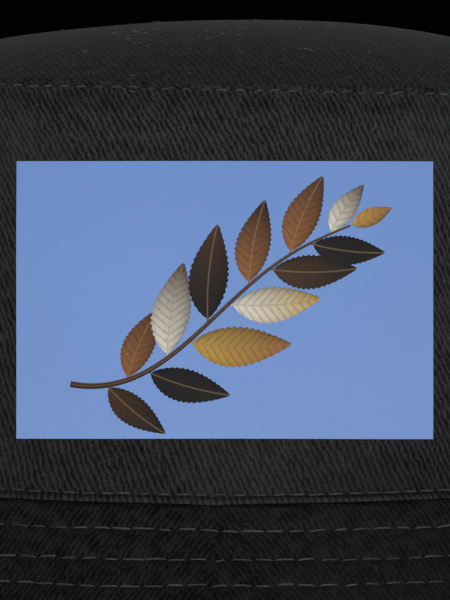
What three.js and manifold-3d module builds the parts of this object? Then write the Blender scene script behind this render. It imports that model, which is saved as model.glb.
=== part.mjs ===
// Black cotton twill bucket hat, standing on its brim as on a table.
// Millimetres, +Z up. The front faces -Y and +X is on the right of someone looking at the front.
// The origin is on the ground, under the middle of the crown.

import * as THREE from 'three';
import { mergeVertices } from 'three/addons/utils/BufferGeometryUtils.js';
import Module from 'manifold-3d';

const wasm = await Module();
wasm.setup();

// Driving dimensions of the crown: an oval ring at the base seam that leans in up to the top seam
const baseHalfWidth = 88;
const baseHalfLength = 97;
const crownHeight = 85;
const crownLean = 10;
const crownBulge = 1.2;
const squareness = 0.03; // how much flatter than an ellipse the oval is at its front, back and sides
const seamSkew = 0.0245; // the top seam falls by this much for each millimetre towards +X
const domeRise = 14.4;
const domePower = 2.85;
const tipReaches = [0, 0.3, 0.55, 0.75, 0.89, 1];

// Driving dimensions of the brim, whose edge lifts a little at the two sides
const brimSlant = 57;
const brimAngle = THREE.MathUtils.degToRad(42);
const sideLift = 3.2;
const frontLiftShare = 0.3;
const flatLift = 0.4; // this much of the lift is cut off, so the front and the back stay flat
const joinAcross = -3.3; // the brim halves meet a little off the middle at the front

// Cloth and gaps
const cloth = 1;
const gap = 0.3;
const bandCloth = 0.8;
const tapeCloth = 0.6;
const allowance = 7;

// Print on the front panel, seen as an upright rectangle from in front
const printMiddle = -1.5;
const printHalfWidth = 43.5;
const printBottom = 51.6;
const printTop = 108.5;
const printBottomBow = 0.9;
const printTopBow = 0.25;
const printFilm = 0.4;

// Inside: sweatband, seam tapes and size label
const sweatbandHeight = 29;
const sweatbandDrop = 1;
const topTapeHeight = 10;
const sideTapeHalfWidth = 5;
const labelHalfWidth = 15;
const labelBottom = 44;
const labelTop = 62;

// Ventilation eyelets, two on each side, before and behind the side seam
const eyeletTurn = THREE.MathUtils.degToRad(13);
const eyeletHeight = 0.58;
const eyeletHole = 2.2;
const eyeletBarrel = 3;
const eyeletFlange = 4.4;
const eyeletProud = 0.75;
const eyeletEdgeShare = 0.7; // height of the flange's edge, as a share of the whole
const eyeletCutDepth = 8;
const eyeletSides = 16;

// Steps of the facets
const roundSteps = 72;
const wallRows = 4;
const brimRows = 3;
const sweatbandRows = 2;
const tapeColumns = 2;
const labelColumns = 6;
const printColumns = 16;
const printRows = 4;
const weldDistance = 1e-4;

// Derived sizes
const baseHeight = brimSlant * Math.sin(brimAngle);
const topHalfWidth = baseHalfWidth - crownLean;
const topHalfLength = baseHalfLength - crownLean;
const slope = Math.tan(brimAngle);
const halfTurn = Math.PI;
const quarterTurn = Math.PI / 2;
const ovalSpeed = (1 + 3 * squareness) / (1 - squareness); // length for each unit of angle at the flats
const joinTurn = joinAcross / (baseHalfWidth * ovalSpeed);
const halfGapTurn = gap / 2 / topHalfWidth;

// Offsets of the layers from the outside of the crown, going inwards
const linedBy = (layers) => -(layers * (cloth + gap));
const sweatbandOutside = linedBy(3);
const sweatbandInside = sweatbandOutside - bandCloth;

const twill = { color: 0x1d1d1f, roughness: 0.95, metalness: 0 };
const thread = { color: 0x38383a, roughness: 0.8, metalness: 0 };
const sweatCloth = { color: 0x222224, roughness: 0.9, metalness: 0 };
const printInk = { color: 0x6e92c8, roughness: 0.75, metalness: 0 };
const labelSatin = { color: 0xb9b8b2, roughness: 0.5, metalness: 0 };

// A point on an oval ring: angle 0 is the front and a quarter turn is +X; offset is outwards.
// A wave of three times the angle makes the ring a little squarer than an ellipse.
function ovalPoint(halfWidth, halfLength, angle, offset, height) {
  const across = (Math.sin(angle) + squareness * Math.sin(3 * angle)) / (1 - squareness);
  const along = -(Math.cos(angle) - squareness * Math.cos(3 * angle)) / (1 - squareness);
  const outward = new THREE.Vector2(
    halfLength * (Math.sin(angle) - 3 * squareness * Math.sin(3 * angle)),
    -halfWidth * (Math.cos(angle) + 3 * squareness * Math.cos(3 * angle)),
  ).normalize();
  return new THREE.Vector3(
    halfWidth * across + offset * outward.x,
    halfLength * along + offset * outward.y,
    height,
  );
}

// Angle of the front point that lies this far across on an oval, found by repeated substitution
function angleAcross(across, halfWidth) {
  const goal = (across / halfWidth) * (1 - squareness);
  let sine = goal;
  for (let round = 0; round < 12; round += 1) {
    sine = (goal + 4 * squareness * sine ** 3) / (1 + 3 * squareness);
  }
  return Math.asin(sine);
}

// A point on the crown's side, where rise is 0 at the base seam and 1 at the top seam
function wallPoint(angle, rise, offset) {
  const swell = crownBulge * Math.sin(Math.PI * THREE.MathUtils.clamp(rise, 0, 1)) - crownLean * rise;
  const skew = seamSkew * topHalfWidth * Math.sin(angle);
  const height = baseHeight + rise * (crownHeight - skew);
  return ovalPoint(baseHalfWidth + swell, baseHalfLength + swell, angle, offset, height);
}

// A point on the tip, where reach is 0 in the middle and 1 over the top seam
function tipPoint(angle, reach, drop) {
  const point = ovalPoint(topHalfWidth * reach, topHalfLength * reach, angle, 0, 0);
  const dome = domeRise * (1 - reach ** domePower);
  point.z = baseHeight + crownHeight + gap + cloth + dome - drop - seamSkew * point.x * reach ** 2;
  return point;
}

// How far the brim's edge is off the ground; it is 0 near the front and the back
function edgeLift(angle) {
  const wave = sideLift * Math.sin(angle) ** 2 * (1 + frontLiftShare * Math.cos(angle));
  return Math.max(0, wave - flatLift);
}

// A point on a brim layer, depth below its upper face, offset level out from the base seam's oval
function brimPoint(angle, offset, depth) {
  const top = baseHeight - depth / Math.cos(brimAngle);
  const share = Math.max(0, offset) / brimReach(depth);
  const height = top - offset * slope + edgeLift(angle) * share ** 2;
  return ovalPoint(baseHalfWidth, baseHalfLength, angle, offset, height);
}

// Level distance from the base seam to the edge, where the layer's cut end is level
function brimReach(depth) {
  return (baseHeight - depth / Math.cos(brimAngle)) / slope;
}

function evenSteps(from, to, count) {
  return Array.from({ length: count + 1 }, (_, step) => from + ((to - from) * step) / count);
}

function fullRound() {
  return evenSteps(0, 2 * Math.PI, roundSteps).slice(0, -1);
}

// A closed mesh from corner lists: its shared corners are merged and its empty triangles dropped
function closedGeometry(corners, index) {
  const loose = new THREE.BufferGeometry();
  loose.setAttribute('position', new THREE.Float32BufferAttribute(corners.flatMap((c) => c.toArray()), 3));
  loose.setIndex(index);
  const merged = mergeVertices(loose, weldDistance);
  const kept = [];
  for (let i = 0; i < merged.index.count; i += 3) {
    const [a, b, c] = [0, 1, 2].map((k) => merged.index.getX(i + k));
    if (a !== b && b !== c && c !== a) {
      kept.push(a, b, c);
    }
  }
  merged.setIndex(kept);
  return merged;
}

// Joins a row of like profiles, each a closed loop of corners, into one body.
// Profiles run the way that puts the faces outwards: up the outside and down the inside.
function loft(profiles, closedRound) {
  const size = profiles[0].length;
  const spans = closedRound ? profiles.length : profiles.length - 1;
  const index = [];
  for (let i = 0; i < spans; i += 1) {
    const near = i * size;
    const far = ((i + 1) % profiles.length) * size;
    for (let j = 0; j < size; j += 1) {
      const next = (j + 1) % size;
      index.push(near + j, far + j, far + next);
      index.push(near + j, far + next, near + next);
    }
  }
  if (!closedRound) {
    const last = (profiles.length - 1) * size;
    for (const [a, b, c] of capTriangles(profiles[0])) {
      index.push(a, b, c);
    }
    for (const [a, b, c] of capTriangles(profiles[profiles.length - 1])) {
      index.push(last + c, last + b, last + a);
    }
  }
  return closedGeometry(profiles.flat(), index);
}

// Triangles over one end profile, laid out by distance from the axis and height
function capTriangles(profile) {
  const outline = profile.map((corner) => new THREE.Vector2(Math.hypot(corner.x, corner.y), corner.z));
  const turnsLeft = !THREE.ShapeUtils.isClockWise(outline);
  const faces = THREE.ShapeUtils.triangulateShape(outline, []);
  return turnsLeft ? faces : faces.map(([a, b, c]) => [c, b, a]);
}

function mesh(name, geometry, finish) {
  geometry.computeVertexNormals();
  const piece = new THREE.Mesh(geometry, new THREE.MeshStandardMaterial({ ...finish, flatShading: true }));
  piece.name = name;
  return piece;
}

function toSolid(geometry) {
  const bare = geometry.clone();
  bare.deleteAttribute('normal');
  bare.deleteAttribute('uv');
  const merged = mergeVertices(bare, weldDistance);
  return new wasm.Manifold(new wasm.Mesh({
    numProp: 3,
    vertProperties: new Float32Array(merged.attributes.position.array),
    triVerts: new Uint32Array(merged.index.array),
  }));
}

function fromSolid(solid) {
  const { vertProperties, triVerts } = solid.getMesh();
  const geometry = new THREE.BufferGeometry();
  geometry.setAttribute('position', new THREE.Float32BufferAttribute(vertProperties, 3));
  geometry.setIndex(Array.from(triVerts));
  return geometry;
}

// A strip of cloth on the wall between two rises, from one offset in to a deeper one
function wallProfile(angle, rises, outside, inside) {
  const up = rises.map((rise) => wallPoint(angle, rise, outside));
  const down = [...rises].reverse().map((rise) => wallPoint(angle, rise, inside));
  return [...up, ...down];
}

// Place and outward direction of an eyelet on the wall
function eyeletPlace(angle) {
  const step = 0.01;
  const centre = wallPoint(angle, eyeletHeight, 0);
  const across = wallPoint(angle + step, eyeletHeight, 0).sub(centre);
  const up = wallPoint(angle, eyeletHeight + step, 0).sub(centre);
  const outward = across.cross(up).normalize();
  return { centre, turn: new THREE.Quaternion().setFromUnitVectors(new THREE.Vector3(0, 1, 0), outward) };
}

// Rounded ring with a barrel through the cloth and a flange on its outside
function makeEyelet(name, angle) {
  const rim = eyeletProud + gap;
  const profile = [
    [eyeletHole, -cloth - gap],
    [eyeletHole, rim * eyeletEdgeShare],
    [(eyeletHole + eyeletBarrel) / 2, rim],
    [(eyeletBarrel + eyeletFlange) / 2, rim],
    [eyeletFlange, rim * eyeletEdgeShare],
    [eyeletFlange, gap],
    [eyeletBarrel, gap],
    [eyeletBarrel, -cloth - gap],
  ].map(([radius, height]) => new THREE.Vector2(radius, height));
  profile.reverse();
  profile.push(profile[0].clone());
  const geometry = new THREE.LatheGeometry(profile, eyeletSides);
  const { centre, turn } = eyeletPlace(angle);
  const ring = mesh(name, geometry, thread);
  ring.position.copy(centre);
  ring.quaternion.copy(turn);
  return ring;
}

// Cutter for the hole that an eyelet's barrel passes through
function eyeletCutter(angle) {
  const radius = eyeletBarrel + gap;
  const { centre, turn } = eyeletPlace(angle);
  const bar = new THREE.CylinderGeometry(radius, radius, eyeletCutDepth, eyeletSides);
  bar.applyQuaternion(turn);
  bar.translate(centre.x, centre.y, centre.z);
  return toSolid(bar);
}

// One half of the crown's side, whose lower edge is cut to the brim's slope
function makeSidePanel(name, middle) {
  const from = middle - quarterTurn + halfGapTurn;
  const to = middle + quarterTurn - halfGapTurn;
  const rises = evenSteps(0, 1, wallRows);
  const foot = gap / crownHeight;
  const inset = (gap + cloth * slope) / crownHeight;
  const profiles = evenSteps(from, to, roundSteps / 2).map((angle) => {
    const outside = rises.map((rise) => wallPoint(angle, Math.max(rise, foot), 0));
    const inside = rises.map((rise) => wallPoint(angle, Math.max(rise, inset), -cloth));
    return [...outside, ...inside.reverse()];
  });
  let solid = toSolid(loft(profiles, false));
  for (const side of [-1, 1]) {
    solid = solid.subtract(eyeletCutter(middle + side * (quarterTurn - eyeletTurn)));
  }
  return mesh(name, fromSolid(solid), twill);
}

// Domed oval top, a shell of cloth whose rim sits on the side panels
function makeTip() {
  const profiles = fullRound().map((angle) => {
    const outside = [...tipReaches].reverse().map((reach) => tipPoint(angle, reach, 0));
    const inside = tipReaches.slice(0, -1).map((reach) => tipPoint(angle, reach, cloth));
    const rim = [0, -cloth].map((offset) => wallPoint(angle, 1, offset));
    for (const corner of rim) {
      corner.z += gap;
    }
    return [rim[0], ...outside, ...inside, rim[1]];
  });
  return mesh('crown_tip', loft(profiles, true), twill);
}

// One half of one brim layer, its inner edge turned up inside the crown as the seam allowance
function makeBrimHalf(name, layer, from, to) {
  const upperDepth = layer * (cloth + gap);
  const lowerDepth = upperDepth + cloth;
  const outerTurn = linedBy(layer + 1);
  const innerTurn = outerTurn - cloth;
  const allowanceTop = allowance / crownHeight;
  const profiles = evenSteps(from, to, roundSteps / 2).map((angle) => {
    const lower = evenSteps(innerTurn, brimReach(lowerDepth), brimRows);
    const upper = evenSteps(brimReach(upperDepth), outerTurn, brimRows);
    return [
      ...lower.map((offset) => brimPoint(angle, offset, lowerDepth)),
      ...upper.map((offset) => brimPoint(angle, offset, upperDepth)),
      wallPoint(angle, allowanceTop, outerTurn),
      wallPoint(angle, allowanceTop, innerTurn),
    ];
  });
  return mesh(name, loft(profiles, false), twill);
}

// Deep band inside the crown's opening
function makeSweatband() {
  const from = -sweatbandDrop / crownHeight;
  const rises = evenSteps(from, from + sweatbandHeight / crownHeight, sweatbandRows);
  const profiles = fullRound().map((angle) => wallProfile(angle, rises, sweatbandOutside, sweatbandInside));
  return mesh('sweatband', loft(profiles, true), sweatCloth);
}

// Tape that binds the top seam's allowance inside, all the way round
function makeTopTape() {
  const rises = [1 - topTapeHeight / crownHeight, 1];
  const outside = linedBy(1);
  const profiles = fullRound().map((angle) => wallProfile(angle, rises, outside, outside - tapeCloth));
  return mesh('top_seam_tape', loft(profiles, true), sweatCloth);
}

// Upright tape over one side seam, between the sweatband and the top seam's tape
function makeSideTape(name, middle) {
  const halfTurnOfTape = sideTapeHalfWidth / (baseHalfLength * ovalSpeed);
  const bottom = (sweatbandHeight + cloth) / crownHeight;
  const top = 1 - (topTapeHeight + cloth) / crownHeight;
  const rises = evenSteps(bottom, top, wallRows);
  const outside = linedBy(1);
  const angles = evenSteps(middle - halfTurnOfTape, middle + halfTurnOfTape, tapeColumns);
  const profiles = angles.map((angle) => wallProfile(angle, rises, outside, outside - tapeCloth));
  return mesh(name, loft(profiles, false), sweatCloth);
}

// Blank size label on the inside of the sweatband, at the back
function makeLabel() {
  const halfTurnOfLabel = labelHalfWidth / (baseHalfWidth * ovalSpeed);
  const rises = [labelBottom, labelTop].map((height) => (height - baseHeight) / crownHeight);
  const outside = sweatbandInside - gap;
  const angles = evenSteps(halfTurn - halfTurnOfLabel, halfTurn + halfTurnOfLabel, labelColumns);
  const profiles = angles.map((angle) => wallProfile(angle, rises, outside, outside - tapeCloth));
  return mesh('size_label', loft(profiles, false), labelSatin);
}

// Film of ink over the front panel; its lower and upper edges bow down towards the sides
function makePrint() {
  const columns = evenSteps(printMiddle - printHalfWidth, printMiddle + printHalfWidth, printColumns);
  const profiles = columns.map((across) => {
    const away = ((across - printMiddle) / printHalfWidth) ** 2;
    const heights = evenSteps(printBottom - printBottomBow * away, printTop - printTopBow * away, printRows);
    const place = (height, offset) => {
      const rise = (height - baseHeight) / (crownHeight - seamSkew * across);
      const halfWidth = baseHalfWidth - crownLean * rise + crownBulge * Math.sin(Math.PI * rise);
      return wallPoint(angleAcross(across, halfWidth), rise, offset);
    };
    const outside = heights.map((height) => place(height, gap + printFilm));
    const inside = heights.map((height) => place(height, gap));
    return [...outside, ...inside.reverse()];
  });
  return mesh('print_panel', loft(profiles, false), printInk);
}

const hat = new THREE.Group();
hat.name = 'bucket_hat';
hat.add(makeTip());
hat.add(makeSidePanel('side_panel_front', 0));
hat.add(makeSidePanel('side_panel_back', halfTurn));
for (const [layer, layerName] of ['brim_upper', 'brim_under'].entries()) {
  hat.add(makeBrimHalf(`${layerName}_right`, layer, joinTurn + halfGapTurn, halfTurn - halfGapTurn));
  hat.add(makeBrimHalf(`${layerName}_left`, layer, halfTurn + halfGapTurn, 2 * halfTurn + joinTurn - halfGapTurn));
}
hat.add(makeSweatband());
hat.add(makeTopTape());
for (const [side, sideName] of [[1, 'right'], [-1, 'left']]) {
  hat.add(makeSideTape(`side_tape_${sideName}`, side * quarterTurn));
  hat.add(makeEyelet(`eyelet_front_${sideName}`, side * (quarterTurn - eyeletTurn)));
  hat.add(makeEyelet(`eyelet_back_${sideName}`, side * (quarterTurn + eyeletTurn)));
}
hat.add(makeLabel());
hat.add(makePrint());

export default hat;
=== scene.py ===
"""Black cotton twill bucket hat: cloth, seams, stitching, print and studio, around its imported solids."""
import math
from typing import NamedTuple

import bmesh
import bpy
import numpy as np
from bpy.props import FloatProperty, FloatVectorProperty, PointerProperty
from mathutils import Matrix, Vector


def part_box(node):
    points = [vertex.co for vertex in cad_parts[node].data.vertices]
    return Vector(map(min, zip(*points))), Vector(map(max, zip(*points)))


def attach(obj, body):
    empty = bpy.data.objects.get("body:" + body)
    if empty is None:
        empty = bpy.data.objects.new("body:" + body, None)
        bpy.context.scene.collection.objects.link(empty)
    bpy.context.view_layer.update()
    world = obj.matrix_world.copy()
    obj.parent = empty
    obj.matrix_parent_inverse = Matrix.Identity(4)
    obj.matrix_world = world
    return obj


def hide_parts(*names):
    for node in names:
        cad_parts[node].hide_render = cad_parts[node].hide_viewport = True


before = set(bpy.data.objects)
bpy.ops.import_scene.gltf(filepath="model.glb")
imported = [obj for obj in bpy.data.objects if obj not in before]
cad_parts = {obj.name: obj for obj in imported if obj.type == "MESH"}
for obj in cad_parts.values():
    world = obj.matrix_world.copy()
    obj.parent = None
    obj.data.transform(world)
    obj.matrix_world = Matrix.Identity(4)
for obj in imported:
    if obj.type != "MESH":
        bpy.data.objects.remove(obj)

bl_info = {
    "name": "Twill Bucket Hat",
    "version": (1, 0, 0),
    "blender": (4, 5, 0),
    "location": "3D View > Sidebar > Hat",
    "description": "Builds the cloth, seams, stitching and print of a twill bucket hat",
    "category": "Add Mesh",
}

MM = 0.001
BODY = "root"
FULL_TURN = 2 * math.pi
HALF_TURN = math.pi
QUARTER_TURN = math.pi / 2

# Sizes that the solids give
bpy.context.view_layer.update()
SIDE_LOW, SIDE_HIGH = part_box("side_panel_front")
_, TIP_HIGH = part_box("crown_tip")
PRINT_LOW, PRINT_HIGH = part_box("print_panel")
EYELETS = {
    name: sum(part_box(name), Vector()) / 2
    for name in sorted(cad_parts)
    if name.startswith("eyelet_")
}
SOLID_GAP = 0.3 * MM
SOLID_CLOTH = 1 * MM
SEAM_SKEW = 0.0245  # fall of the top seam for each metre to the right
SEAM_HEIGHT = SIDE_LOW.z - SOLID_GAP
CROWN_HEIGHT = SIDE_HIGH.z - SEAM_HEIGHT - SEAM_SKEW * TIP_HIGH.x
PRINT_HALF_WIDTH = (PRINT_HIGH.x - PRINT_LOW.x) / 2


def length(name, description, default):
    """Setting in metres."""
    return FloatProperty(name=name, description=description, default=default, unit="LENGTH", precision=5)


def turn(name, description, degrees):
    """Setting that is an angle, given in degrees and kept in radians."""
    return FloatProperty(name=name, description=description, default=math.radians(degrees), unit="ROTATION")


def number(name, description, default):
    """Setting without a unit."""
    return FloatProperty(name=name, description=description, default=default)


def power(name, description, default):
    """Setting in watts."""
    return FloatProperty(name=name, description=description, default=default, unit="POWER")


def colour(name, description, default):
    """Setting that is a colour, as red, green and blue light."""
    return FloatVectorProperty(
        name=name, description=description, default=default, size=3, min=0, max=1, subtype="COLOR"
    )


class HatShape(bpy.types.PropertyGroup):
    """Outer sizes of the crown and the brim"""

    opening_half_width: length("Opening half width", "Base seam, middle to side", SIDE_HIGH.x)
    opening_half_length: length("Opening half length", "Base seam, middle to front", -SIDE_LOW.y)
    seam_height: length("Base seam height", "Base seam above the table", SEAM_HEIGHT)
    crown_height: length("Crown height", "Base seam to top seam", CROWN_HEIGHT)
    crown_lean: length("Crown lean", "How far the side leans in", SIDE_HIGH.x - TIP_HIGH.x)
    crown_bulge: length("Crown bulge", "How far the side swells half way up", 1.2 * MM)
    squareness: number("Squareness", "How much flatter than an ellipse the front, back and sides are", 0.03)
    seam_skew: number("Top seam skew", "Fall of the top seam for each metre to the right", SEAM_SKEW)
    dome_rise: length(
        "Dome rise",
        "Height of the tip's dome over its rim",
        TIP_HIGH.z - SEAM_HEIGHT - CROWN_HEIGHT - SOLID_GAP - SOLID_CLOTH,
    )
    dome_power: number("Dome power", "How late the dome turns down to its rim", 2.85)
    brim_angle: turn("Brim angle", "Slope of the brim under the level", 42)
    brim_thick: length("Brim thickness", "Both layers of the brim", 2.3 * MM)
    side_lift: length("Side lift", "How far the brim's edge lifts at the sides", 3.2 * MM)
    join_across: length("Brim join", "Place of the brim's front join, across", -3.3 * MM)


class HatCloth(bpy.types.PropertyGroup):
    """Weave and softness of the twill"""

    wale_pitch: length("Wale pitch", "From one twill rib to the next", 1.19 * MM)
    wale_turn: turn("Wale direction", "Lie of the ribs on the front panel, from level", 115)
    wale_relief: length("Wale relief", "Height of a rib over its groove", 0.16 * MM)
    softness: length("Softness", "Broad dents and swells of the crown", 0.55 * MM)
    rib_colour: colour("Rib", "Top of the twill ribs", (0.0320, 0.0320, 0.0320))
    groove_colour: colour("Groove", "Between the twill ribs", (0.0044, 0.0044, 0.0044))
    tip_turn: turn("Wale direction of the tip", "Lie of the ribs on the tip, from level", 108)
    brim_turn: turn("Wale direction of the brim", "Lie of the ribs at the brim's front, from level", 121)
    lining_colour: colour("Lining", "Sweatband and seam tapes", (0.022, 0.022, 0.022))


class HatStitching(bpy.types.PropertyGroup):
    """Sewing thread and stitch rows"""

    thread_width: length("Thread width", "Thickness of the sewing thread", 0.34 * MM)
    top_pitch: length("Top stitch", "Stitch length on the top seam", 3.7 * MM)
    base_pitch: length("Base stitch", "Stitch length on the base seam", 4.0 * MM)
    brim_pitch: length("Brim stitch", "Stitch length on the brim", 4.5 * MM)
    thread_colour: colour("Thread", "Sewing thread", (0.041, 0.041, 0.041))
    pillow: length("Quilting", "Swell of the brim between two stitch rows", 0.34 * MM)


class HatPrint(bpy.types.PropertyGroup):
    """Sky-coloured print with a leafy sprig"""

    half_width: length("Half width", "Middle of the print to its side", PRINT_HALF_WIDTH - 0.32 * MM)
    sky_top: colour("Upper sky", "Ink at the top edge", (0.154, 0.272, 0.588))
    sky_bottom: colour("Lower sky", "Ink at the bottom edge", (0.184, 0.305, 0.618))
    dark: colour("Dark leaf", "Near-black ink", (0.012, 0.010, 0.010))
    brown: colour("Brown leaf", "Dark brown ink", (0.060, 0.030, 0.016))
    rust: colour("Rust leaf", "Red-brown ink", (0.250, 0.105, 0.040))
    ochre: colour("Ochre leaf", "Yellow-brown ink", (0.440, 0.270, 0.060))
    cream: colour("Cream leaf", "Pale ink", (0.640, 0.600, 0.520))


class HatStudio(bpy.types.PropertyGroup):
    """Camera and light"""

    camera_away: length("Camera distance", "From the front of the crown", 800 * MM)
    camera_height: length("Camera height", "Above the table", 128.7 * MM)
    aim_height: length("Aim height", "Point that the camera looks at, above the table", 80.1 * MM)
    aim_across: length("Aim across", "Point that the camera looks at, across", -1.24 * MM)
    view_turn: turn("View", "Upright angle of view", 8.792)
    key_power: power("Key", "Light from the front", 50.4)
    top_power: power("Top", "Light from above and behind", 2.0)
    side_power: power("Sides", "Light from each side", 2.4)
    air: number("Air", "Strength of the light from all round", 0.075)
    air_colour: colour("Air colour", "Light from all round", (0.77, 0.77, 0.77))
    floor_colour: colour("Floor", "Table", (0.86, 0.86, 0.85))
    backdrop_colour: colour("Backdrop", "Far floor and backdrop", (0.001, 0.001, 0.001))
    pale_reach: length("Pale floor", "Distance from the hat to which the floor is pale", 1.0)
    dark_reach: length("Dark floor", "Distance from the hat from which the floor is dark", 2.4)


# Rows of stitching on the brim: slant distance from the base seam, unevenly spaced as sewn by eye
BRIM_ROWS = tuple(place * MM for place in (7.5, 15.43, 22.05, 29.5, 36.9, 44.2, 51.4))
# Height of the seams' rows, over the base seam and over the top seam
BASE_ROW = 1.78 * MM
TOP_ROW = 0.05 * MM
SIDE_ROW = 2.3 * MM  # from a side seam to the row beside it

# Sweatband and label: how far each lies inside the plain side, and how high the band's top row is sewn
SWEATBAND_INSET = 4.1 * MM
SWEATBAND_THICK = 0.7 * MM
SWEATBAND_TOP = 28 * MM
SWEATBAND_ROW = 26.5 * MM
LABEL_INSET = SWEATBAND_INSET + SWEATBAND_THICK + 0.35 * MM

# Eyelets: radius of the hole in the cloth, and radius and half width of the ring of thread round it
EYELET_HOLE = 2.9 * MM
EYELET_RING = 3.25 * MM
EYELET_BINDING = 1.1 * MM

# The print on the cloth: height of its two edges over the table, at the middle, how far they bow down at the
# sides, how far it lies to the right of its solid, and how much wider its top is than its middle, as a share
PRINT_LOWER_EDGE = 51.45 * MM
PRINT_UPPER_EDGE = 108.45 * MM
PRINT_LOWER_BOW = 0.9 * MM
PRINT_UPPER_BOW = 0.3 * MM
PRINT_SHIFT = 0.2 * MM
PRINT_SPREAD = 0.0022
LEAVES = 13

# Lint
LONGEST_FIBRE = 2.6 * MM


class Hand(NamedTuple):
    """How a row was sewn"""

    fill: float = 0.82  # share of the pitch that a float of thread covers
    uneven: float = 0.07  # spread of the floats' lengths, as a share
    wobble: float = 0.09 * MM  # spread of a float's ends across the row
    crest: float = 0.06 * MM  # height of the floats' ends off the cloth
    sunk: float = 0.04 * MM  # spread of that height
    lean: float = 0.0  # how far a float's two ends lie off the row, on opposite sides


PLAIN_HAND = Hand()
TOP_HAND = Hand(fill=0.68, uneven=0.16, wobble=0.12 * MM, sunk=0.09 * MM, lean=0.14 * MM)
BASE_HAND = Hand(fill=0.78, uneven=0.1, wobble=0.07 * MM, crest=-0.04 * MM, sunk=0.07 * MM)
BRIM_HAND = Hand(fill=0.83, uneven=0.18, wobble=0.15 * MM)


def waves(across, along, seed, shortest, longest, count=14):
    """Smooth random field from about -1 to 1: a sum of sines whose headings, phases and lengths are drawn
    from the seed, with lengths between shortest and longest."""
    draw = np.random.default_rng(seed)
    headings = draw.uniform(0, FULL_TURN, count)
    phases = draw.uniform(0, FULL_TURN, count)
    lengths = draw.uniform(shortest, longest, count)
    total = 0.0
    for heading, phase, span in zip(headings, phases, lengths):
        travel = across * np.cos(heading) + along * np.sin(heading)
        total = total + np.sin(FULL_TURN * travel / span + phase)
    return total / math.sqrt(count)


def bump(distance, width):
    """Bell curve: exp of minus the squared ratio of distance to width."""
    return np.exp(-((distance / width) ** 2))


def running_sum(steps):
    """Sums of the first none, one, two and more of the steps."""
    return np.concatenate([[0], np.cumsum(steps)])


def unit(vectors):
    """Vectors scaled to a length of one."""
    return vectors / np.linalg.norm(vectors, axis=-1, keepdims=True)


def both_faces(grid):
    """A grid's values for a shell's outer face, and once more, in the shell's order, for its inner face."""
    return np.concatenate([grid, grid[::-1]])


def gathers(along, distance, seed, reach):
    """Fine puckers beside a seam: upright waves along it that die out within reach of it."""
    return waves(along, 0.15 * distance, seed, 2.6 * MM, 8 * MM) * np.exp(-np.abs(distance) / reach)


def oval_normal(shape, half_width, half_length, angle):
    """Unit outward normal of the oval: its tangent turned by a quarter."""
    square = 3 * shape.squareness
    x = half_length * (np.sin(angle) - square * np.sin(3 * angle))
    y = -half_width * (np.cos(angle) + square * np.cos(3 * angle))
    size = np.hypot(x, y)
    return x / size, y / size


def oval(shape, half_width, half_length, angle, offset=0.0):
    """Squared ellipse at an angle from the front: (w (sin a + s sin 3a), -l (cos a - s cos 3a)) / (1 - s),
    moved by offset along its outward normal."""
    square = shape.squareness
    normal_x, normal_y = oval_normal(shape, half_width, half_length, angle)
    x = half_width * (np.sin(angle) + square * np.sin(3 * angle)) / (1 - square)
    y = -half_length * (np.cos(angle) - square * np.cos(3 * angle)) / (1 - square)
    return x + offset * normal_x, y + offset * normal_y


def points_of(x, y, z):
    """Points, from arrays or numbers for each axis."""
    return np.stack(np.broadcast_arrays(x, y, z), axis=-1)


def wall(shape, angle, climb, offset=0.0):
    """Side of the crown: an oval for each height climb over the base seam, smaller by the lean's share and
    swollen by a half sine, whose height falls to the right by the skew's share."""
    rise = climb / shape.crown_height
    swell = shape.crown_bulge * np.sin(np.pi * np.clip(rise, 0, 1)) - shape.crown_lean * rise
    x, y = oval(shape, shape.opening_half_width + swell, shape.opening_half_length + swell, angle, offset)
    fall = shape.seam_skew * (shape.opening_half_width - shape.crown_lean) * np.sin(angle)
    return points_of(x, y, shape.seam_height + climb - rise * fall)


def tip_rim_height(shape, x):
    """Height of the tip's rim, which lies on the top seam and falls to the right as it does."""
    return shape.seam_height + shape.crown_height + SOLID_GAP + SOLID_CLOTH - shape.seam_skew * x


def top_oval(shape, angle, offset=0.0):
    """Oval of the top seam: the base seam's, smaller by the lean on all sides."""
    half_width = shape.opening_half_width - shape.crown_lean
    half_length = shape.opening_half_length - shape.crown_lean
    return oval(shape, half_width, half_length, angle, offset)


def dome(shape, angle, reach, drop):
    """Top of the crown: shrunken copies of the top seam's oval at height rise * (1 - reach ** power)."""
    x, y = top_oval(shape, angle)
    x = x * reach
    y = y * reach
    rim = tip_rim_height(shape, x * reach**2)
    return points_of(x, y, rim + shape.dome_rise * (1 - reach**shape.dome_power) - drop)


def tip_sag(x, y):
    """How the soft dome settles: a little all over, more to the left of the middle, less at the right."""
    ripple = 0.25 * MM * waves(x, y, 21, 45 * MM, 120 * MM)
    right = 0.9 * MM * (np.maximum(x, 0) / (50 * MM)) ** 3
    all_over = 0.45 * MM
    left = 0.85 * MM * bump(x + 28 * MM, 20 * MM)
    return ripple + right - all_over - left


def edge_lift(shape, angle):
    """How far the edge is off the table: the squared sine of the angle from the front, a little more towards
    the front, less 0.4 mm, so that it stays level at the front and the back."""
    wave = shape.side_lift * np.sin(angle) ** 2 * (1 + 0.3 * np.cos(angle))
    return np.maximum(0, wave - 0.4 * MM)


def brim_slant(shape):
    """Length of the brim's slope, from the base seam down to the table."""
    return shape.seam_height / math.sin(shape.brim_angle)


def brim(shape, angle, slant, height):
    """Upper face of the brim: from the base seam's oval, slant out and down along the slope and height off
    it, raised towards the edge by the squared share of the slant times the edge's lift."""
    slope = shape.brim_angle
    level = slant * math.cos(slope) + height * math.sin(slope)
    x, y = oval(shape, shape.opening_half_width, shape.opening_half_length, angle, level)
    share = np.clip(slant / brim_slant(shape), 0, 1)
    z = shape.seam_height - slant * math.sin(slope) + height * math.cos(slope)
    return points_of(x, y, z + edge_lift(shape, angle) * share**2)


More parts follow.
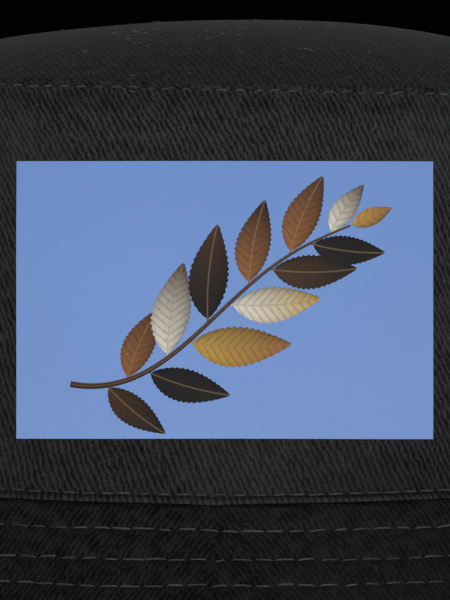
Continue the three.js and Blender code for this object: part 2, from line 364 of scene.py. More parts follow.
def unrolled(shape, angles, steepness):
    """Flat pattern of a band that slopes from the base seam: the seam's own length, laid out along a heading
    that turns by the cosine of the steepness times the turn of its normal. Gives place and heading."""
    fine = np.linspace(min(angles.min(), 0), max(angles.max(), 0), 4001)
    x, y = oval(shape, shape.opening_half_width, shape.opening_half_length, fine)
    normal_x, normal_y = oval_normal(shape, shape.opening_half_width, shape.opening_half_length, fine)
    heading = math.cos(steepness) * np.unwrap(np.arctan2(normal_x, -normal_y))
    step = np.hypot(np.diff(x), np.diff(y))
    middle = (heading[1:] + heading[:-1]) / 2
    flat_x = running_sum(step * np.cos(middle))
    flat_y = running_sum(step * np.sin(middle))
    flat_x = flat_x - np.interp(0, fine, flat_x)
    flat_y = flat_y - np.interp(0, fine, flat_y)
    return [np.interp(angles, fine, values) for values in (flat_x, flat_y, heading)]


def flat_place(pattern, climb):
    """Cloth coordinates of points that lie climb above the pattern's oval, at right angles to it."""
    flat_x, flat_y, heading = pattern
    return np.stack([flat_x - climb * np.sin(heading), flat_y + climb * np.cos(heading)], axis=-1)


def seam_length(shape, angle):
    """Length along the base seam from the front to an angle."""
    fine = np.linspace(-FULL_TURN, FULL_TURN, 8001)
    x, y = oval(shape, shape.opening_half_width, shape.opening_half_length, fine)
    along = running_sum(np.hypot(np.diff(x), np.diff(y)))
    return np.interp(angle, fine, along - np.interp(0, fine, along))


def angle_at(shape, along):
    """Angle at a length along the base seam from the front."""
    fine = np.linspace(-HALF_TURN, HALF_TURN, 4001)
    return np.interp(along, seam_length(shape, fine), fine)


def angle_across(shape, half_width, x):
    """Angle of the front point that lies at x on an oval of this half width."""
    fine = np.linspace(-QUARTER_TURN, QUARTER_TURN, 2001)
    share, _ = oval(shape, 1.0, 1.0, fine)
    return np.interp(x / half_width, share, fine)


def crown_swells(shape, cloth, angle, climb):
    """Broad soft dents and swells of the crown's side, which the two seams hold back."""
    below_top = shape.crown_height - climb
    swells = cloth.softness * waves(seam_length(shape, angle), 1.3 * climb, 11, 38 * MM, 95 * MM)
    held_at_base = 0.8 * np.exp(-np.abs(climb) / (16 * MM))
    held_at_top = 0.8 * np.exp(-np.abs(below_top) / (16 * MM))
    return swells * (1 - held_at_base - held_at_top)


def crown_relief(shape, cloth, angle, climb):
    """How far the crown's cloth stands off its plain side: the swells, a crease under the top seam, the
    groove of the base stitches and the ridge below it, puckers at both, and at each side seam a groove
    between two rises."""
    along = seam_length(shape, angle)
    below_top = shape.crown_height - climb
    crease_depth = 0.5 * MM * (1 + 0.4 * waves(along, 0, 14, 10 * MM, 45 * MM))
    crease = -crease_depth * bump(below_top, 1.5 * MM) - 0.25 * MM * np.exp(-np.abs(below_top) / (4 * MM))
    groove = -0.42 * MM * bump(climb - BASE_ROW + 0.25 * MM, 0.6 * MM)
    ridge = 0.62 * MM * bump(climb - 0.45 * MM, 0.55 * MM)
    puckers = 0.13 * MM * gathers(along, below_top, 12, 6 * MM)
    puckers = puckers + 0.10 * MM * gathers(along, climb, 13, 5 * MM)
    half_round = seam_length(shape, HALF_TURN)
    from_seam = np.mod(along, half_round) - half_round / 2
    seams = 0.25 * MM * bump(np.abs(from_seam) - 3.2 * MM, 2.2 * MM) - 0.55 * MM * bump(from_seam, 0.7 * MM)
    return crown_swells(shape, cloth, angle, climb) + crease + groove + ridge + puckers + seams


def inner_offset(shape, cloth, angle, climb):
    """Offset of the side's inner face: a cloth's thickness in, and never nearer to the outer face than
    0.3 mm."""
    plain = crown_swells(shape, cloth, angle, climb) - 0.75 * MM
    return np.minimum(plain, crown_relief(shape, cloth, angle, climb) - 0.3 * MM)


def crown_cloth(shape, cloth, angle, climb, offset):
    """The crown's side with its relief; the lower edge dips where the brim's front join pushes it."""
    from_join = seam_length(shape, angle) - shape.join_across
    dip = 0.55 * MM * np.exp(-np.abs(from_join) / (7 * MM)) * np.exp(-np.abs(climb) / (3 * MM))
    point = wall(shape, angle, climb, offset + crown_relief(shape, cloth, angle, climb))
    point[..., 2] -= dip
    return point


def row_slant(row, along):
    """Slant distance of a brim stitch row, which wanders a little along its way."""
    return BRIM_ROWS[row] + 0.28 * MM * waves(along, 0, 40 + row, 22 * MM, 90 * MM, 8)


def brim_relief(shape, stitching, angle, slant, side):
    """How far the brim's cloth stands off its plain slope: a pillow and drag wrinkles between each two rows
    of stitching, a groove along each row that is deeper at the needle holes, a dip under the crown's edge,
    and at each join a groove between two rises."""
    along = seam_length(shape, angle)
    rows = [row_slant(row, along) for row in range(len(BRIM_ROWS))]
    edges = [0 * along, *rows, 0 * along + brim_slant(shape)]
    total = 0.0
    for channel, (upper, lower) in enumerate(zip(edges[:-1], edges[1:])):
        share = np.clip((slant - upper) / (lower - upper), 0, 1)
        seed = 60 + 20 * side + channel
        swell = stitching.pillow * (1 + 0.45 * waves(along, 0, seed, 9 * MM, 60 * MM))
        tightness = 1.6 if channel == 0 else 1.0
        drag = 0.17 * MM * waves(along + 0.35 * slant, 0.25 * slant, seed + 9, 3.4 * MM, 13 * MM)
        total = total + (swell + tightness * drag) * np.sin(np.pi * share) ** 0.75
    for row, line in enumerate(rows):
        widening = 1 + BRIM_ROWS[row] * math.cos(shape.brim_angle) / shape.opening_half_length
        needle = 0.5 + 0.5 * np.cos(FULL_TURN * along * widening / stitching.brim_pitch)
        total = total - (0.16 + 0.12 * needle) * MM * bump(slant - line, 0.8 * MM)
    total = total - seam_dip(slant)
    back = np.abs(along) - seam_length(shape, HALF_TURN)
    for distance in (along - shape.join_across, back):
        total = total - 0.28 * MM * bump(distance, 0.55 * MM)
        total = total + 0.16 * MM * bump(np.abs(distance) - 3 * MM, 2.4 * MM)
    return total


def seam_dip(slant):
    """Depth of the crevice where the brim runs in under the crown's edge."""
    return 0.45 * MM * bump(np.maximum(slant, 0), 0.75 * MM)


def brim_cloth(shape, stitching, angle, slant, side):
    """A brim layer's outer face with its quilting: side 0 is the upper face and 1 the face under the brim.
    Past the last millimetre it rolls round in a quarter circle to the middle of the brim's thickness."""
    half = shape.brim_thick / 2
    roll_start = brim_roll_end(shape) - half * QUARTER_TURN
    rolled = np.clip((slant - roll_start) / (half * QUARTER_TURN), 0, 1) * QUARTER_TURN
    run = np.minimum(slant, roll_start) + half * np.sin(rolled)
    calm = np.clip((roll_start - slant) / (2 * MM), 0, 1)
    out = (half + brim_relief(shape, stitching, angle, slant, side) * calm) * np.cos(rolled)
    point = brim(shape, angle, run, out - half if side == 0 else -out - half)
    point[..., 2] = np.maximum(point[..., 2], 0.02 * MM)
    return point


def brim_roll_end(shape):
    """Slant at which the rolled edge ends: the roll just touches the table."""
    half = shape.brim_thick / 2
    drop = shape.seam_height - half * (1 + math.cos(shape.brim_angle))
    return drop / math.sin(shape.brim_angle) + half * QUARTER_TURN


def shell(outer, inner, outer_flat, closed_round, flipped=False):
    """Closed cloth body from two point grids of rows by columns: the profile of each column runs up the
    outer grid and down the inner one, and the ends of an open body are closed. Gives points, faces and
    corner UV. The flat map of a closed round has one column more than the grid."""
    rows, columns = outer.shape[:2]
    profile = np.concatenate([outer, inner[::-1]])
    flat = both_faces(outer_flat)
    loop = 2 * rows
    place = np.arange(loop * columns).reshape(loop, columns)
    spans = columns if closed_round else columns - 1
    low, left = np.meshgrid(np.arange(loop), np.arange(spans), indexing="ij")
    high = (low + 1) % loop
    right = (left + 1) % columns
    quads = np.stack([place[low, left], place[low, right], place[high, right], place[high, left]], axis=-1)
    flats = np.stack([flat[low, left], flat[low, left + 1], flat[high, left + 1], flat[high, left]], axis=2)
    quads = quads.reshape(-1, 4)
    flats = flats.reshape(-1, 4, 2)
    if not closed_round:
        step = np.arange(rows - 1)
        across = loop - 1 - step
        start = place[:, 0]
        first = np.stack([start[step], start[step + 1], start[across - 1], start[across]], axis=-1)
        last = first[:, ::-1] + columns - 1
        caps = np.concatenate([first, last])
        quads = np.concatenate([quads, caps])
        flats = np.concatenate([flats, flat.reshape(-1, 2)[caps]])
    if flipped:
        quads = quads[:, ::-1]
        flats = flats[:, ::-1]
    return profile.reshape(-1, 3), [quads], flats.reshape(-1, 2)


def add_piece(
    name, points, face_groups, corner_flat, material, slot, replaced=(),
    sharp=50, merged=False, darkening=None,
):
    """Makes a mesh object from arrays: faces come in groups of like corner count; UV map cloth is in metres;
    merged welds the points that lie on each other and drops the edges that are left without a face;
    darkening is how much darker than plain cloth the surface is at each point, from 0 to 1, most of
    it painted shade."""
    mesh = bpy.data.meshes.new(name)
    corners = np.concatenate([group.ravel() for group in face_groups])
    sizes = np.concatenate([np.full(len(group), group.shape[1]) for group in face_groups])
    mesh.vertices.add(len(points))
    mesh.vertices.foreach_set("co", np.ascontiguousarray(points, dtype=np.float32).ravel())
    mesh.loops.add(len(corners))
    mesh.loops.foreach_set("vertex_index", corners.astype(np.int32))
    mesh.polygons.add(len(sizes))
    mesh.polygons.foreach_set("loop_start", running_sum(sizes)[:-1].astype(np.int32))
    mesh.update(calc_edges=True)
    layer = mesh.uv_layers.new(name="cloth")
    layer.uv.foreach_set("vector", np.ascontiguousarray(corner_flat, dtype=np.float32).ravel())
    if darkening is not None:
        shades = mesh.attributes.new("darkening", "FLOAT", "POINT")
        shades.data.foreach_set("value", np.ascontiguousarray(darkening, dtype=np.float32).ravel())
    if merged:
        body = bmesh.new()
        body.from_mesh(mesh)
        bmesh.ops.remove_doubles(body, verts=body.verts, dist=1e-7)
        stray = [edge for edge in body.edges if not edge.link_faces]
        bmesh.ops.delete(body, geom=stray, context="EDGES")
        body.to_mesh(mesh)
        body.free()
    mesh.polygons.foreach_set("use_smooth", np.ones(len(mesh.polygons), dtype=bool))
    mesh.set_sharp_from_angle(angle=math.radians(sharp))
    if mesh.validate():
        raise RuntimeError(f"{name}: the mesh had faulty faces")
    mesh.materials.append(material)
    piece = bpy.data.objects.new(name, mesh)
    bpy.context.scene.collection.objects.link(piece)
    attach(piece, BODY)
    if replaced:
        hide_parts(*replaced)
    return piece


def tubes(middle, outward, radius, sides=6):
    """Round tubes along many paths at once: middle holds paths by rings by xyz, outward one direction for
    each path, and radius one value for each ring. Each ring is upright to its path. Gives points, faces and
    corner UV."""
    count, rings = middle.shape[:2]
    tangent = np.gradient(middle, axis=1)
    side = unit(np.cross(tangent, outward[:, None]))
    across = unit(np.cross(side, tangent))
    spin = np.linspace(0, FULL_TURN, sides, endpoint=False)[:, None]
    ring = across[:, :, None] * np.cos(spin) + side[:, :, None] * np.sin(spin)
    points = middle[:, :, None] + ring * radius[..., None, None]
    base = (np.arange(count) * rings * sides)[:, None, None]
    near, turn_step = np.meshgrid(np.arange(rings - 1) * sides, np.arange(sides), indexing="ij")
    after = (turn_step + 1) % sides
    far = near + sides
    quads = np.stack([near + turn_step, near + after, far + after, far + turn_step], axis=-1)
    quads = (base[..., None] + quads).reshape(-1, 4)
    caps_low = base[:, 0] + np.arange(sides)[None, ::-1]
    caps_high = base[:, 0] + (rings - 1) * sides + np.arange(sides)[None]
    steps = np.linalg.norm(np.diff(middle, axis=1), axis=-1)
    run = np.concatenate([np.zeros((count, 1)), np.cumsum(steps, axis=1)], axis=1)[..., None]
    around = spin[:, 0] * radius[..., None]
    flat = np.stack(np.broadcast_arrays(run, around), axis=-1).reshape(-1, 2)
    groups = [quads, np.concatenate([caps_low, caps_high])]
    corner_flat = np.concatenate([flat[group.ravel()] for group in groups])
    return points.reshape(-1, 3), groups, corner_flat


def thread_floats(starts, ends, outward, width, crest, rings=7):
    """One float of thread for each stitch: a tube from start to end along a low arch that rises fast, runs
    level and dives into the cloth at both ends, where it also gets thinner."""
    share = np.linspace(0, 1, rings)
    away = np.abs(2 * share - 1)
    arch = crest * (1 - 2.1 * away**5)
    radius = np.broadcast_to(width / 2 * (1 - 0.35 * away**6), (len(starts), rings))
    middle = starts[:, None] + (ends - starts)[:, None] * share[None, :, None]
    middle = middle + outward[:, None] * arch[None, :, None]
    return tubes(middle, outward, radius)


def joined(parts):
    """Joins several sets of points, face groups and corner UV into one."""
    points = []
    groups = []
    flats = []
    offset = 0
    for part_points, part_groups, part_flat in parts:
        points.append(part_points)
        start = 0
        for group in part_groups:
            groups.append(group + offset)
            flats.append(part_flat[start : start + group.size])
            start += group.size
        offset += len(part_points)
    return np.concatenate(points), groups, np.concatenate(flats)


def stitches_along(path, first, last, pitch, width, seed, hand=PLAIN_HAND):
    """Stitches evenly spaced by length along path(parameter, height). Each is a float of thread over a share
    of the pitch. Its place and length vary a little at random, and its two ends are shifted across the row
    and raised or sunk, as in the hand that sewed it."""
    draw = np.random.default_rng(seed)
    fine = np.linspace(first, last, 6001)
    track = path(fine, 0.0)
    run = running_sum(np.linalg.norm(np.diff(track, axis=0), axis=1))
    count = int(round(run[-1] / pitch))
    step = run[-1] / count
    centres = (np.arange(count) + 0.5) * step + draw.normal(0, 0.035 * step, count)
    half = step * hand.fill / 2 * draw.normal(1, hand.uneven, count)
    begin = np.interp(centres - half, run, fine)
    finish = np.interp(centres + half, run, fine)
    starts = path(begin, 0.0)
    ends = path(finish, 0.0)
    outward = unit(path((begin + finish) / 2, MM) - path((begin + finish) / 2, 0.0))
    side = np.cross(unit(ends - starts), outward)
    leant = hand.lean * np.array([1, -1])[:, None, None]
    shift = draw.normal(0, hand.wobble, (2, count, 1)) + leant
    rise = hand.crest + draw.normal(0, hand.sunk, (2, count, 1))
    starts = starts + side * shift[0] + outward * rise[0]
    ends = ends + side * shift[1] + outward * rise[1]
    return thread_floats(starts, ends, outward, width, 0.14 * MM)


class Value:
    """A shader socket that takes part in Python sums: each operator adds one Math node."""

    def __init__(self, recipe, socket):
        self.recipe = recipe
        self.socket = socket

    def __add__(self, other):
        return self.recipe.math("ADD", self, other)

    def __radd__(self, other):
        return self.recipe.math("ADD", other, self)

    def __sub__(self, other):
        return self.recipe.math("SUBTRACT", self, other)

    def __rsub__(self, other):
        return self.recipe.math("SUBTRACT", other, self)

    def __mul__(self, other):
        return self.recipe.math("MULTIPLY", self, other)

    def __rmul__(self, other):
        return self.recipe.math("MULTIPLY", other, self)

    def __pow__(self, other):
        return self.recipe.math("POWER", self, other)


class Recipe:
    """A material under construction."""

    def __init__(self, name):
        self.material = bpy.data.materials.new(name)
        self.material.use_nodes = True
        self.tree = self.material.node_tree
        self.tree.nodes.clear()

    def node(self, kind, settings=None, sockets=None):
        """Adds a node, applies its settings, then fills or links its sockets."""
        made = self.tree.nodes.new(kind)
        for key, value in (settings or {}).items():
            if key == "stops":
                self.set_stops(made.color_ramp, value)
            else:
                setattr(made, key, value)
        for key, value in (sockets or {}).items():
            if isinstance(value, Value):
                self.tree.links.new(value.socket, made.inputs[key])
            else:
                made.inputs[key].default_value = value
        return made

    def set_stops(self, ramp, stops):
        """Gives a colour ramp its stops, each a place and a colour."""
        while len(ramp.elements) < len(stops):
            ramp.elements.new(0.5)
        for element, (place, shade) in zip(ramp.elements, stops):
            element.position = place
            element.color = (*shade, 1)

    def value(self, made, output=0):
        return Value(self, made.outputs[output])

    def math(self, operation, first, second=0.0):
        return self.value(self.node("ShaderNodeMath", {"operation": operation}, {0: first, 1: second}))

    def vector(self, operation, first, second):
        return self.value(self.node("ShaderNodeVectorMath", {"operation": operation}, {0: first, 1: second}))

    def clamped(self, value):
        return self.value(self.node("ShaderNodeClamp", None, {"Value": value}))

    def mix(self, factor, first, second):
        """Blend of two colours, which may be sockets or plain triples."""
        sides = [side if isinstance(side, Value) else (*side, 1) for side in (first, second)]
        sockets = {0: factor, 6: sides[0], 7: sides[1]}
        return self.value(self.node("ShaderNodeMix", {"data_type": "RGBA"}, sockets), 2)

    def scaled(self, colour_value, factor):
        """A colour made paler or darker by a factor."""
        sockets = {0: colour_value, "Scale": factor}
        return self.value(self.node("ShaderNodeVectorMath", {"operation": "SCALE"}, sockets))

    def cloth_map(self):
        """Across and up in millimetres on the flat cloth."""
        flat = self.value(self.node("ShaderNodeUVMap", {"uv_map": "cloth"}))
        scaled = self.vector("MULTIPLY", flat, (1 / MM, 1 / MM, 1 / MM))
        parts = self.node("ShaderNodeSeparateXYZ", None, {0: scaled})
        return self.value(parts, 0), self.value(parts, 1)

    def joined_vector(self, x, y, z=0.0):
        return self.value(self.node("ShaderNodeCombineXYZ", None, {0: x, 1: y, 2: z}))

    def noise(self, place, scale, detail=2.0, roughness=0.5):
        sockets = {"Vector": place, "Scale": scale, "Detail": detail, "Roughness": roughness}
        return self.value(self.node("ShaderNodeTexNoise", {"noise_dimensions": "3D"}, sockets))

    def object_place(self):
        """Place in the hat's own frame."""
        return self.value(self.node("ShaderNodeTexCoord"), "Object")

    def object_parts(self):
        """X, Y and Z in the hat's own frame."""
        parts = self.node("ShaderNodeSeparateXYZ", None, {0: self.object_place()})
        return [self.value(parts, axis) for axis in range(3)]

    def cosine(self, value):
        """0 to 1 wave of a value that counts periods."""
        return self.math("COSINE", value * FULL_TURN) * 0.5 + 0.5

    def finish(self, colour_value, roughness, height=None, depth=0.1 * MM, strength=1.0, **constants):
        """Principled surface; colour, roughness and bump may vary and every other socket is a constant."""
        sockets = {"Base Color": colour_value, "Roughness": roughness, "Metallic": 0.0}
        if height is not None:
            relief = {"Strength": strength, "Distance": depth, "Height": height}
            sockets["Normal"] = self.value(self.node("ShaderNodeBump", None, relief))
        for key, constant in constants.items():
            sockets[key.replace("_", " ")] = constant
        surface = self.node("ShaderNodeBsdfPrincipled", None, sockets)
        self.node("ShaderNodeOutputMaterial", None, {"Surface": self.value(surface)})
        return self.material


class Weave(NamedTuple):
    """What a twill pattern gives"""

    place: Value  # place on the flat cloth, in millimetres
    ribs: Value  # height of the floats, from 0 to 1
    shade: Value  # a random value for each float
    slub: Value  # thicker and thinner lengths of yarn
    nap: Value  # fine fuzz


def twill_pattern(recipe, pitch, heading):
    """Steep twill from the flat cloth's millimetres: each upright yarn floats over three picks and dives
    under the fourth, one pick lower than its neighbour on the left, which makes ribs along the heading. The
    ribs' height is that of the warp floats and of the weft between them."""
    across, up = recipe.cloth_map()
    place = recipe.joined_vector(across, up)
    wander = (recipe.noise(place, 0.06, 1.0) - 0.5) * 1.4
    wander = wander + (recipe.noise(place, 0.45, 1.0) - 0.5) * 0.75
    wander = wander + (recipe.noise(place, 1.3, 0.0) - 0.5) * 0.3
    repeat = 4
    end = (across + wander) * (repeat * math.sin(heading) * MM / pitch)
    pick = (up + wander) * (repeat * abs(math.cos(heading)) * MM / pitch)
    yarn = recipe.math("FLOOR", end)
    cycle = (pick + yarn) * (1 / repeat)
    share = recipe.math("FRACT", cycle)
    over = 0.76
    warp = recipe.clamped(1 - recipe.math("ABSOLUTE", share * (2 / over) - 1) ** 1.8)
    weft = recipe.clamped(1 - recipe.math("ABSOLUTE", (share - (1 + over) / 2) * (2 / (1 - over))) ** 2)
    roundness = 1 - (recipe.math("FRACT", end) * 2 - 1) ** 2
    ribs = warp * (roundness * 0.2 + 0.8) + weft * 0.22
    cell = recipe.joined_vector(yarn, recipe.math("FLOOR", cycle))
    white_noise = recipe.node("ShaderNodeTexWhiteNoise", {"noise_dimensions": "2D"}, {"Vector": cell})
    shade = recipe.value(white_noise)
    slub = recipe.noise(recipe.joined_vector(across * 1.9, up * 0.5), 1.0, 2.0)
    nap = recipe.noise(place, 1.8, 2.0, 0.6)
    return Weave(place, ribs, shade, slub, nap)


class Twill(NamedTuple):
    """How the twill of one part of the hat looks"""

    heading: float  # lie of the ribs
    stretch: float  # their pitch, as a share of the cloth's own
    contrast: float  # how far they stand out
    roughness: float  # how uneven the yarn is
    blotches: float  # how much it varies from place to place
    # On the tip and the brim, strength is lowered to paint shade into the same cloth
    strength: float  # how pale the whole cloth is


def tinted(factor, shade):
    """A plain colour made paler or darker by a factor."""
    return tuple(factor * part for part in shade)


def twill_material(name, cloth, look):
    """Black cotton twill, from groove to rib colour by the height of the weave and its unevenness, with
    faded zones, caught lint and the piece's own darkening, which is mostly painted shade."""
    recipe = Recipe(name)
    place, ribs, shade, slub, nap = twill_pattern(recipe, cloth.wale_pitch * look.stretch, look.heading)
    patch = recipe.noise(place, 0.3, 2.0)
    weave = ribs + (shade - 0.5) * 0.42 * ribs - 0.5
    uneven = (slub - 0.5) * 1.3 + (nap - 0.5) * 1.1
    tone = weave * look.contrast + uneven * look.roughness + (patch - 0.5) * look.blotches + 0.5
    dark = tinted(look.strength, cloth.groove_colour)
    light = tinted(look.strength, cloth.rib_colour)
    colour_now = recipe.mix(recipe.clamped(tone), dark, light)
    fade = recipe.noise(recipe.object_place(), 24.0, 2.0)
    colour_now = recipe.mix(recipe.clamped((fade - 0.5) * 0.9), colour_now, tinted(1.6, light))
    lint = recipe.clamped((recipe.noise(place, 1.7, 1.0) - 0.735) * 14)
    colour_now = recipe.mix(lint * 0.5, colour_now, (0.11, 0.11, 0.11))
    # Painted shade from the piece's darkening attribute: crevices, creases, folds and the darker tip and
    # brim
    darkening = recipe.value(recipe.node("ShaderNodeAttribute", {"attribute_name": "darkening"}), 2)
    colour_now = recipe.mix(darkening, colour_now, (0.0, 0.0, 0.0))
    height = ribs * (0.75 * look.contrast) + slub * (0.3 * look.roughness) + nap * (0.18 * look.roughness)
    return recipe.finish(
        colour_now, 0.92 - ribs * 0.08, height, cloth.wale_relief, 0.9,
        Specular_IOR_Level=0.1, Sheen_Weight=0.025, Sheen_Roughness=0.35,
    )


def lining_material(name, cloth):
    """Plain weave of the sweatband and the tapes: crossed cosines, one set half a step from the other."""
    recipe = Recipe(name)
    across, up = recipe.cloth_map()
    place = recipe.joined_vector(across, up)
    ends = across * 1.8
    picks = up * 1.8
    warp = recipe.cosine(ends) * recipe.cosine(picks + 0.5)
    weft = recipe.cosine(ends + 0.5) * recipe.cosine(picks)
    weave = warp + weft
    slub = recipe.noise(place, 0.8, 3.0)
    tone = recipe.clamped(weave * 0.6 + (slub - 0.5) * 1.2)
    shade = recipe.mix(tone, tinted(0.4, cloth.lining_colour), tinted(1.5, cloth.lining_colour))
    return recipe.finish(
        shade, 0.85 + slub * 0.1, weave + slub * 0.4, 0.12 * MM, 0.8,
        Specular_IOR_Level=0.2, Sheen_Weight=0.04, Sheen_Roughness=0.5,
    )


def thread_material(name, stitching):
    """Sewing thread: plies that wind round it, from its length and turn, and paler and darker stretches."""
    recipe = Recipe(name)
    along, around = recipe.cloth_map()
    ply = recipe.cosine(along * 1.35 + around * 1.5)
    fuzz = recipe.noise(recipe.object_place(), 2400.0, 2.0)
    wear = recipe.noise(recipe.object_place(), 190.0, 1.0)
    stretch = recipe.noise(recipe.object_place(), 45.0, 0.0)
    tone = recipe.clamped(ply * 0.6 + (fuzz - 0.4) * 0.6 + (wear - 0.5) * 2.2 + (stretch - 0.5) * 1.6)
    shade = recipe.mix(tone, tinted(0.35, stitching.thread_colour), tinted(1.4, stitching.thread_colour))
    return recipe.finish(
        shade, 0.55 + fuzz * 0.2, ply + fuzz * 0.3, 0.06 * MM, 0.7,
        Specular_IOR_Level=0.45, Sheen_Weight=0.05,
    )


def lint_material(name):
    """Pale cotton fibre, some of it darker."""
    recipe = Recipe(name)
    mood = recipe.noise(recipe.object_place(), 130.0, 1.0)
    shade = recipe.mix(recipe.clamped((mood - 0.35) * 3.0), (0.05, 0.05, 0.05), (0.24, 0.24, 0.25))
    return recipe.finish(shade, 0.85 + mood * 0.1, Specular_IOR_Level=0.2)


def print_material(name, cloth, print_style):
    """Ink film: sky shades from bottom to top, with the twill faintly showing through. It is paler at both
    sides and a little more at the left, which is painted light that evens out the key light's fall-off
    there."""
    recipe = Recipe(name)
    weave = twill_pattern(recipe, cloth.wale_pitch, cloth.wale_turn)
    x, _, z = recipe.object_parts()
    share = recipe.clamped((z - PRINT_LOW.z) * (1 / (PRINT_HIGH.z - PRINT_LOW.z)))
    sky = recipe.mix(share, print_style.sky_bottom, print_style.sky_top)
    # Painted light: the ink is paler towards both sides and more so at the left, where less key light falls
    across = x * (1 / print_style.half_width)
    sky = recipe.mix(across * across * 0.3, sky, tinted(1.2, print_style.sky_bottom))
    sky = recipe.scaled(sky, 1.065 - across * 0.09)
    cloud = recipe.noise(recipe.object_place(), 30.0, 2.0)
    sky = recipe.mix(recipe.clamped((cloud - 0.5) * 0.25), sky, (0.22, 0.34, 0.62))
    worn = recipe.clamped((0.25 - weave.ribs) * 0.4 + (weave.slub - 0.62) * 0.4)
    sky = recipe.mix(worn, sky, (0.08, 0.15, 0.34))
    height = weave.ribs * 0.6 + weave.slub * 0.3
    return recipe.finish(sky, 0.7 + weave.slub * 0.1, height, 0.04 * MM, 0.4, Specular_IOR_Level=0.2)


def leaf_material(name):
    """Leaf ink: a painted tone for each point, with a brown midrib, dark side veins and dark specks."""
    recipe = Recipe(name)
    tone = recipe.value(recipe.node("ShaderNodeAttribute", {"attribute_name": "tone"}))
    along, across = recipe.cloth_map()
    away = recipe.math("ABSOLUTE", across)
    midrib = recipe.clamped(1 - away * 4.5)
    vein = recipe.clamped(recipe.cosine((along - away * 0.8) * 0.62) ** 9 * 1.2 - midrib)
    speckle = recipe.noise(recipe.object_place(), 900.0, 3.0)
    shade = recipe.mix(midrib * 0.55, tone, (0.30, 0.20, 0.10))
    shade = recipe.mix(vein * 0.34, shade, (0.02, 0.014, 0.01))
    shade = recipe.mix(recipe.clamped((speckle - 0.52) * 2.0) * 0.4, shade, (0.015, 0.012, 0.01))
    return recipe.finish(shade, 0.7 + speckle * 0.05, speckle, 0.02 * MM, 0.3, Specular_IOR_Level=0.2)


def label_material(name):
    """Satin ribbon: fine level floats, broken up along their way."""
    recipe = Recipe(name)
    across, up = recipe.cloth_map()
    floats = recipe.cosine(up * 3.2)
    break_up = recipe.noise(recipe.joined_vector(across * 0.6, up * 4.0), 1.0, 2.0)
    shade = recipe.mix(recipe.clamped(floats * 0.4 + break_up * 0.4), (0.36, 0.36, 0.33), (0.56, 0.56, 0.53))
    height = floats + break_up
    return recipe.finish(shade, 0.38 + break_up * 0.15, height, 0.05 * MM, 0.5, Specular_IOR_Level=0.5)


def studio_material(name, studio):
    """Pale floor with a barely seen mottle, which darkens with distance from the hat into the backdrop. The
    fade is painted shade, standing in for light that falls off with distance.
    """
    recipe = Recipe(name)
    mottle = recipe.noise(recipe.object_place(), 3.0, 3.0)
    pale = tuple(studio.floor_colour)
    floor = recipe.mix(mottle, pale, tuple(min(1.0, part * 1.03) for part in pale))
    x, y, _ = recipe.object_parts()
    # Painted shade: the floor fades to the backdrop's colour with distance from the hat
    distance = (x * x + y * y) ** 0.5
    share = recipe.clamped((distance - studio.pale_reach) * (1 / (studio.dark_reach - studio.pale_reach)))
    dark = share * share * (3 - share * 2)
    return recipe.finish(recipe.mix(dark, floor, studio.backdrop_colour), 0.9, Specular_IOR_Level=0.1)


def material_once(name, maker, *sources):
    """The material of this name, made now if it isn't there yet."""
    return bpy.data.materials.get(name) or maker(name, *sources)


def twill_of(scene, name="crown_twill"):
    """Twill of one part of the hat: the tip's ribs are wide and faint and its yarn is rough, and the brim's
    cloth is blotchy. The tip's and the brim's cloth are darker copies of the crown's: painted shade, deepest
    on the brim."""
    cloth = scene.hat_cloth
    # Last value is strength: the tip's and the brim's are lower, painted shade on the same cloth
    looks = {
        "crown_twill": Twill(cloth.wale_turn, 1.0, 0.95, 1.0, 1.0, 1.2),
        "tip_twill": Twill(cloth.tip_turn, 1.2, 0.6, 1.9, 1.3, 0.98),
        "brim_twill": Twill(cloth.brim_turn, 1.04, 1.0, 1.4, 2.5, 0.57),
    }
    return material_once(name, twill_material, cloth, looks[name])


def lining_of(scene):
    """Cloth of the sweatband and the tapes."""
    return material_once("lining_cloth", lining_material, scene.hat_cloth)


def thread_of(scene):
    """Thread of the stitches and of the eyelets' binding."""
    return material_once("sewing_thread", thread_material, scene.hat_stitching)


def side_steepness(shape):
    """Slope of the crown's side, from level."""
    return math.atan2(shape.crown_height, shape.crown_lean)


def pulled_grain(flat):
    """The front panel's grain is a little out of true: a shift across that grows with the square of the
    distance from a level half way up, to one side at the left and to the other at the right, and a waver."""
    level = 42 * MM
    x = flat[..., 0] / (45 * MM)
    z = (flat[..., 1] - level) / (34 * MM)
    shift = (0.048 - 0.109 * np.clip(x, -1.6, 1.6)) * z**2 * 17 * MM
    waver = 0.5 * MM * waves(flat[..., 0], flat[..., 1], 31, 30 * MM, 80 * MM)
    return np.stack([flat[..., 0] + shift + waver, flat[..., 1]], axis=-1)


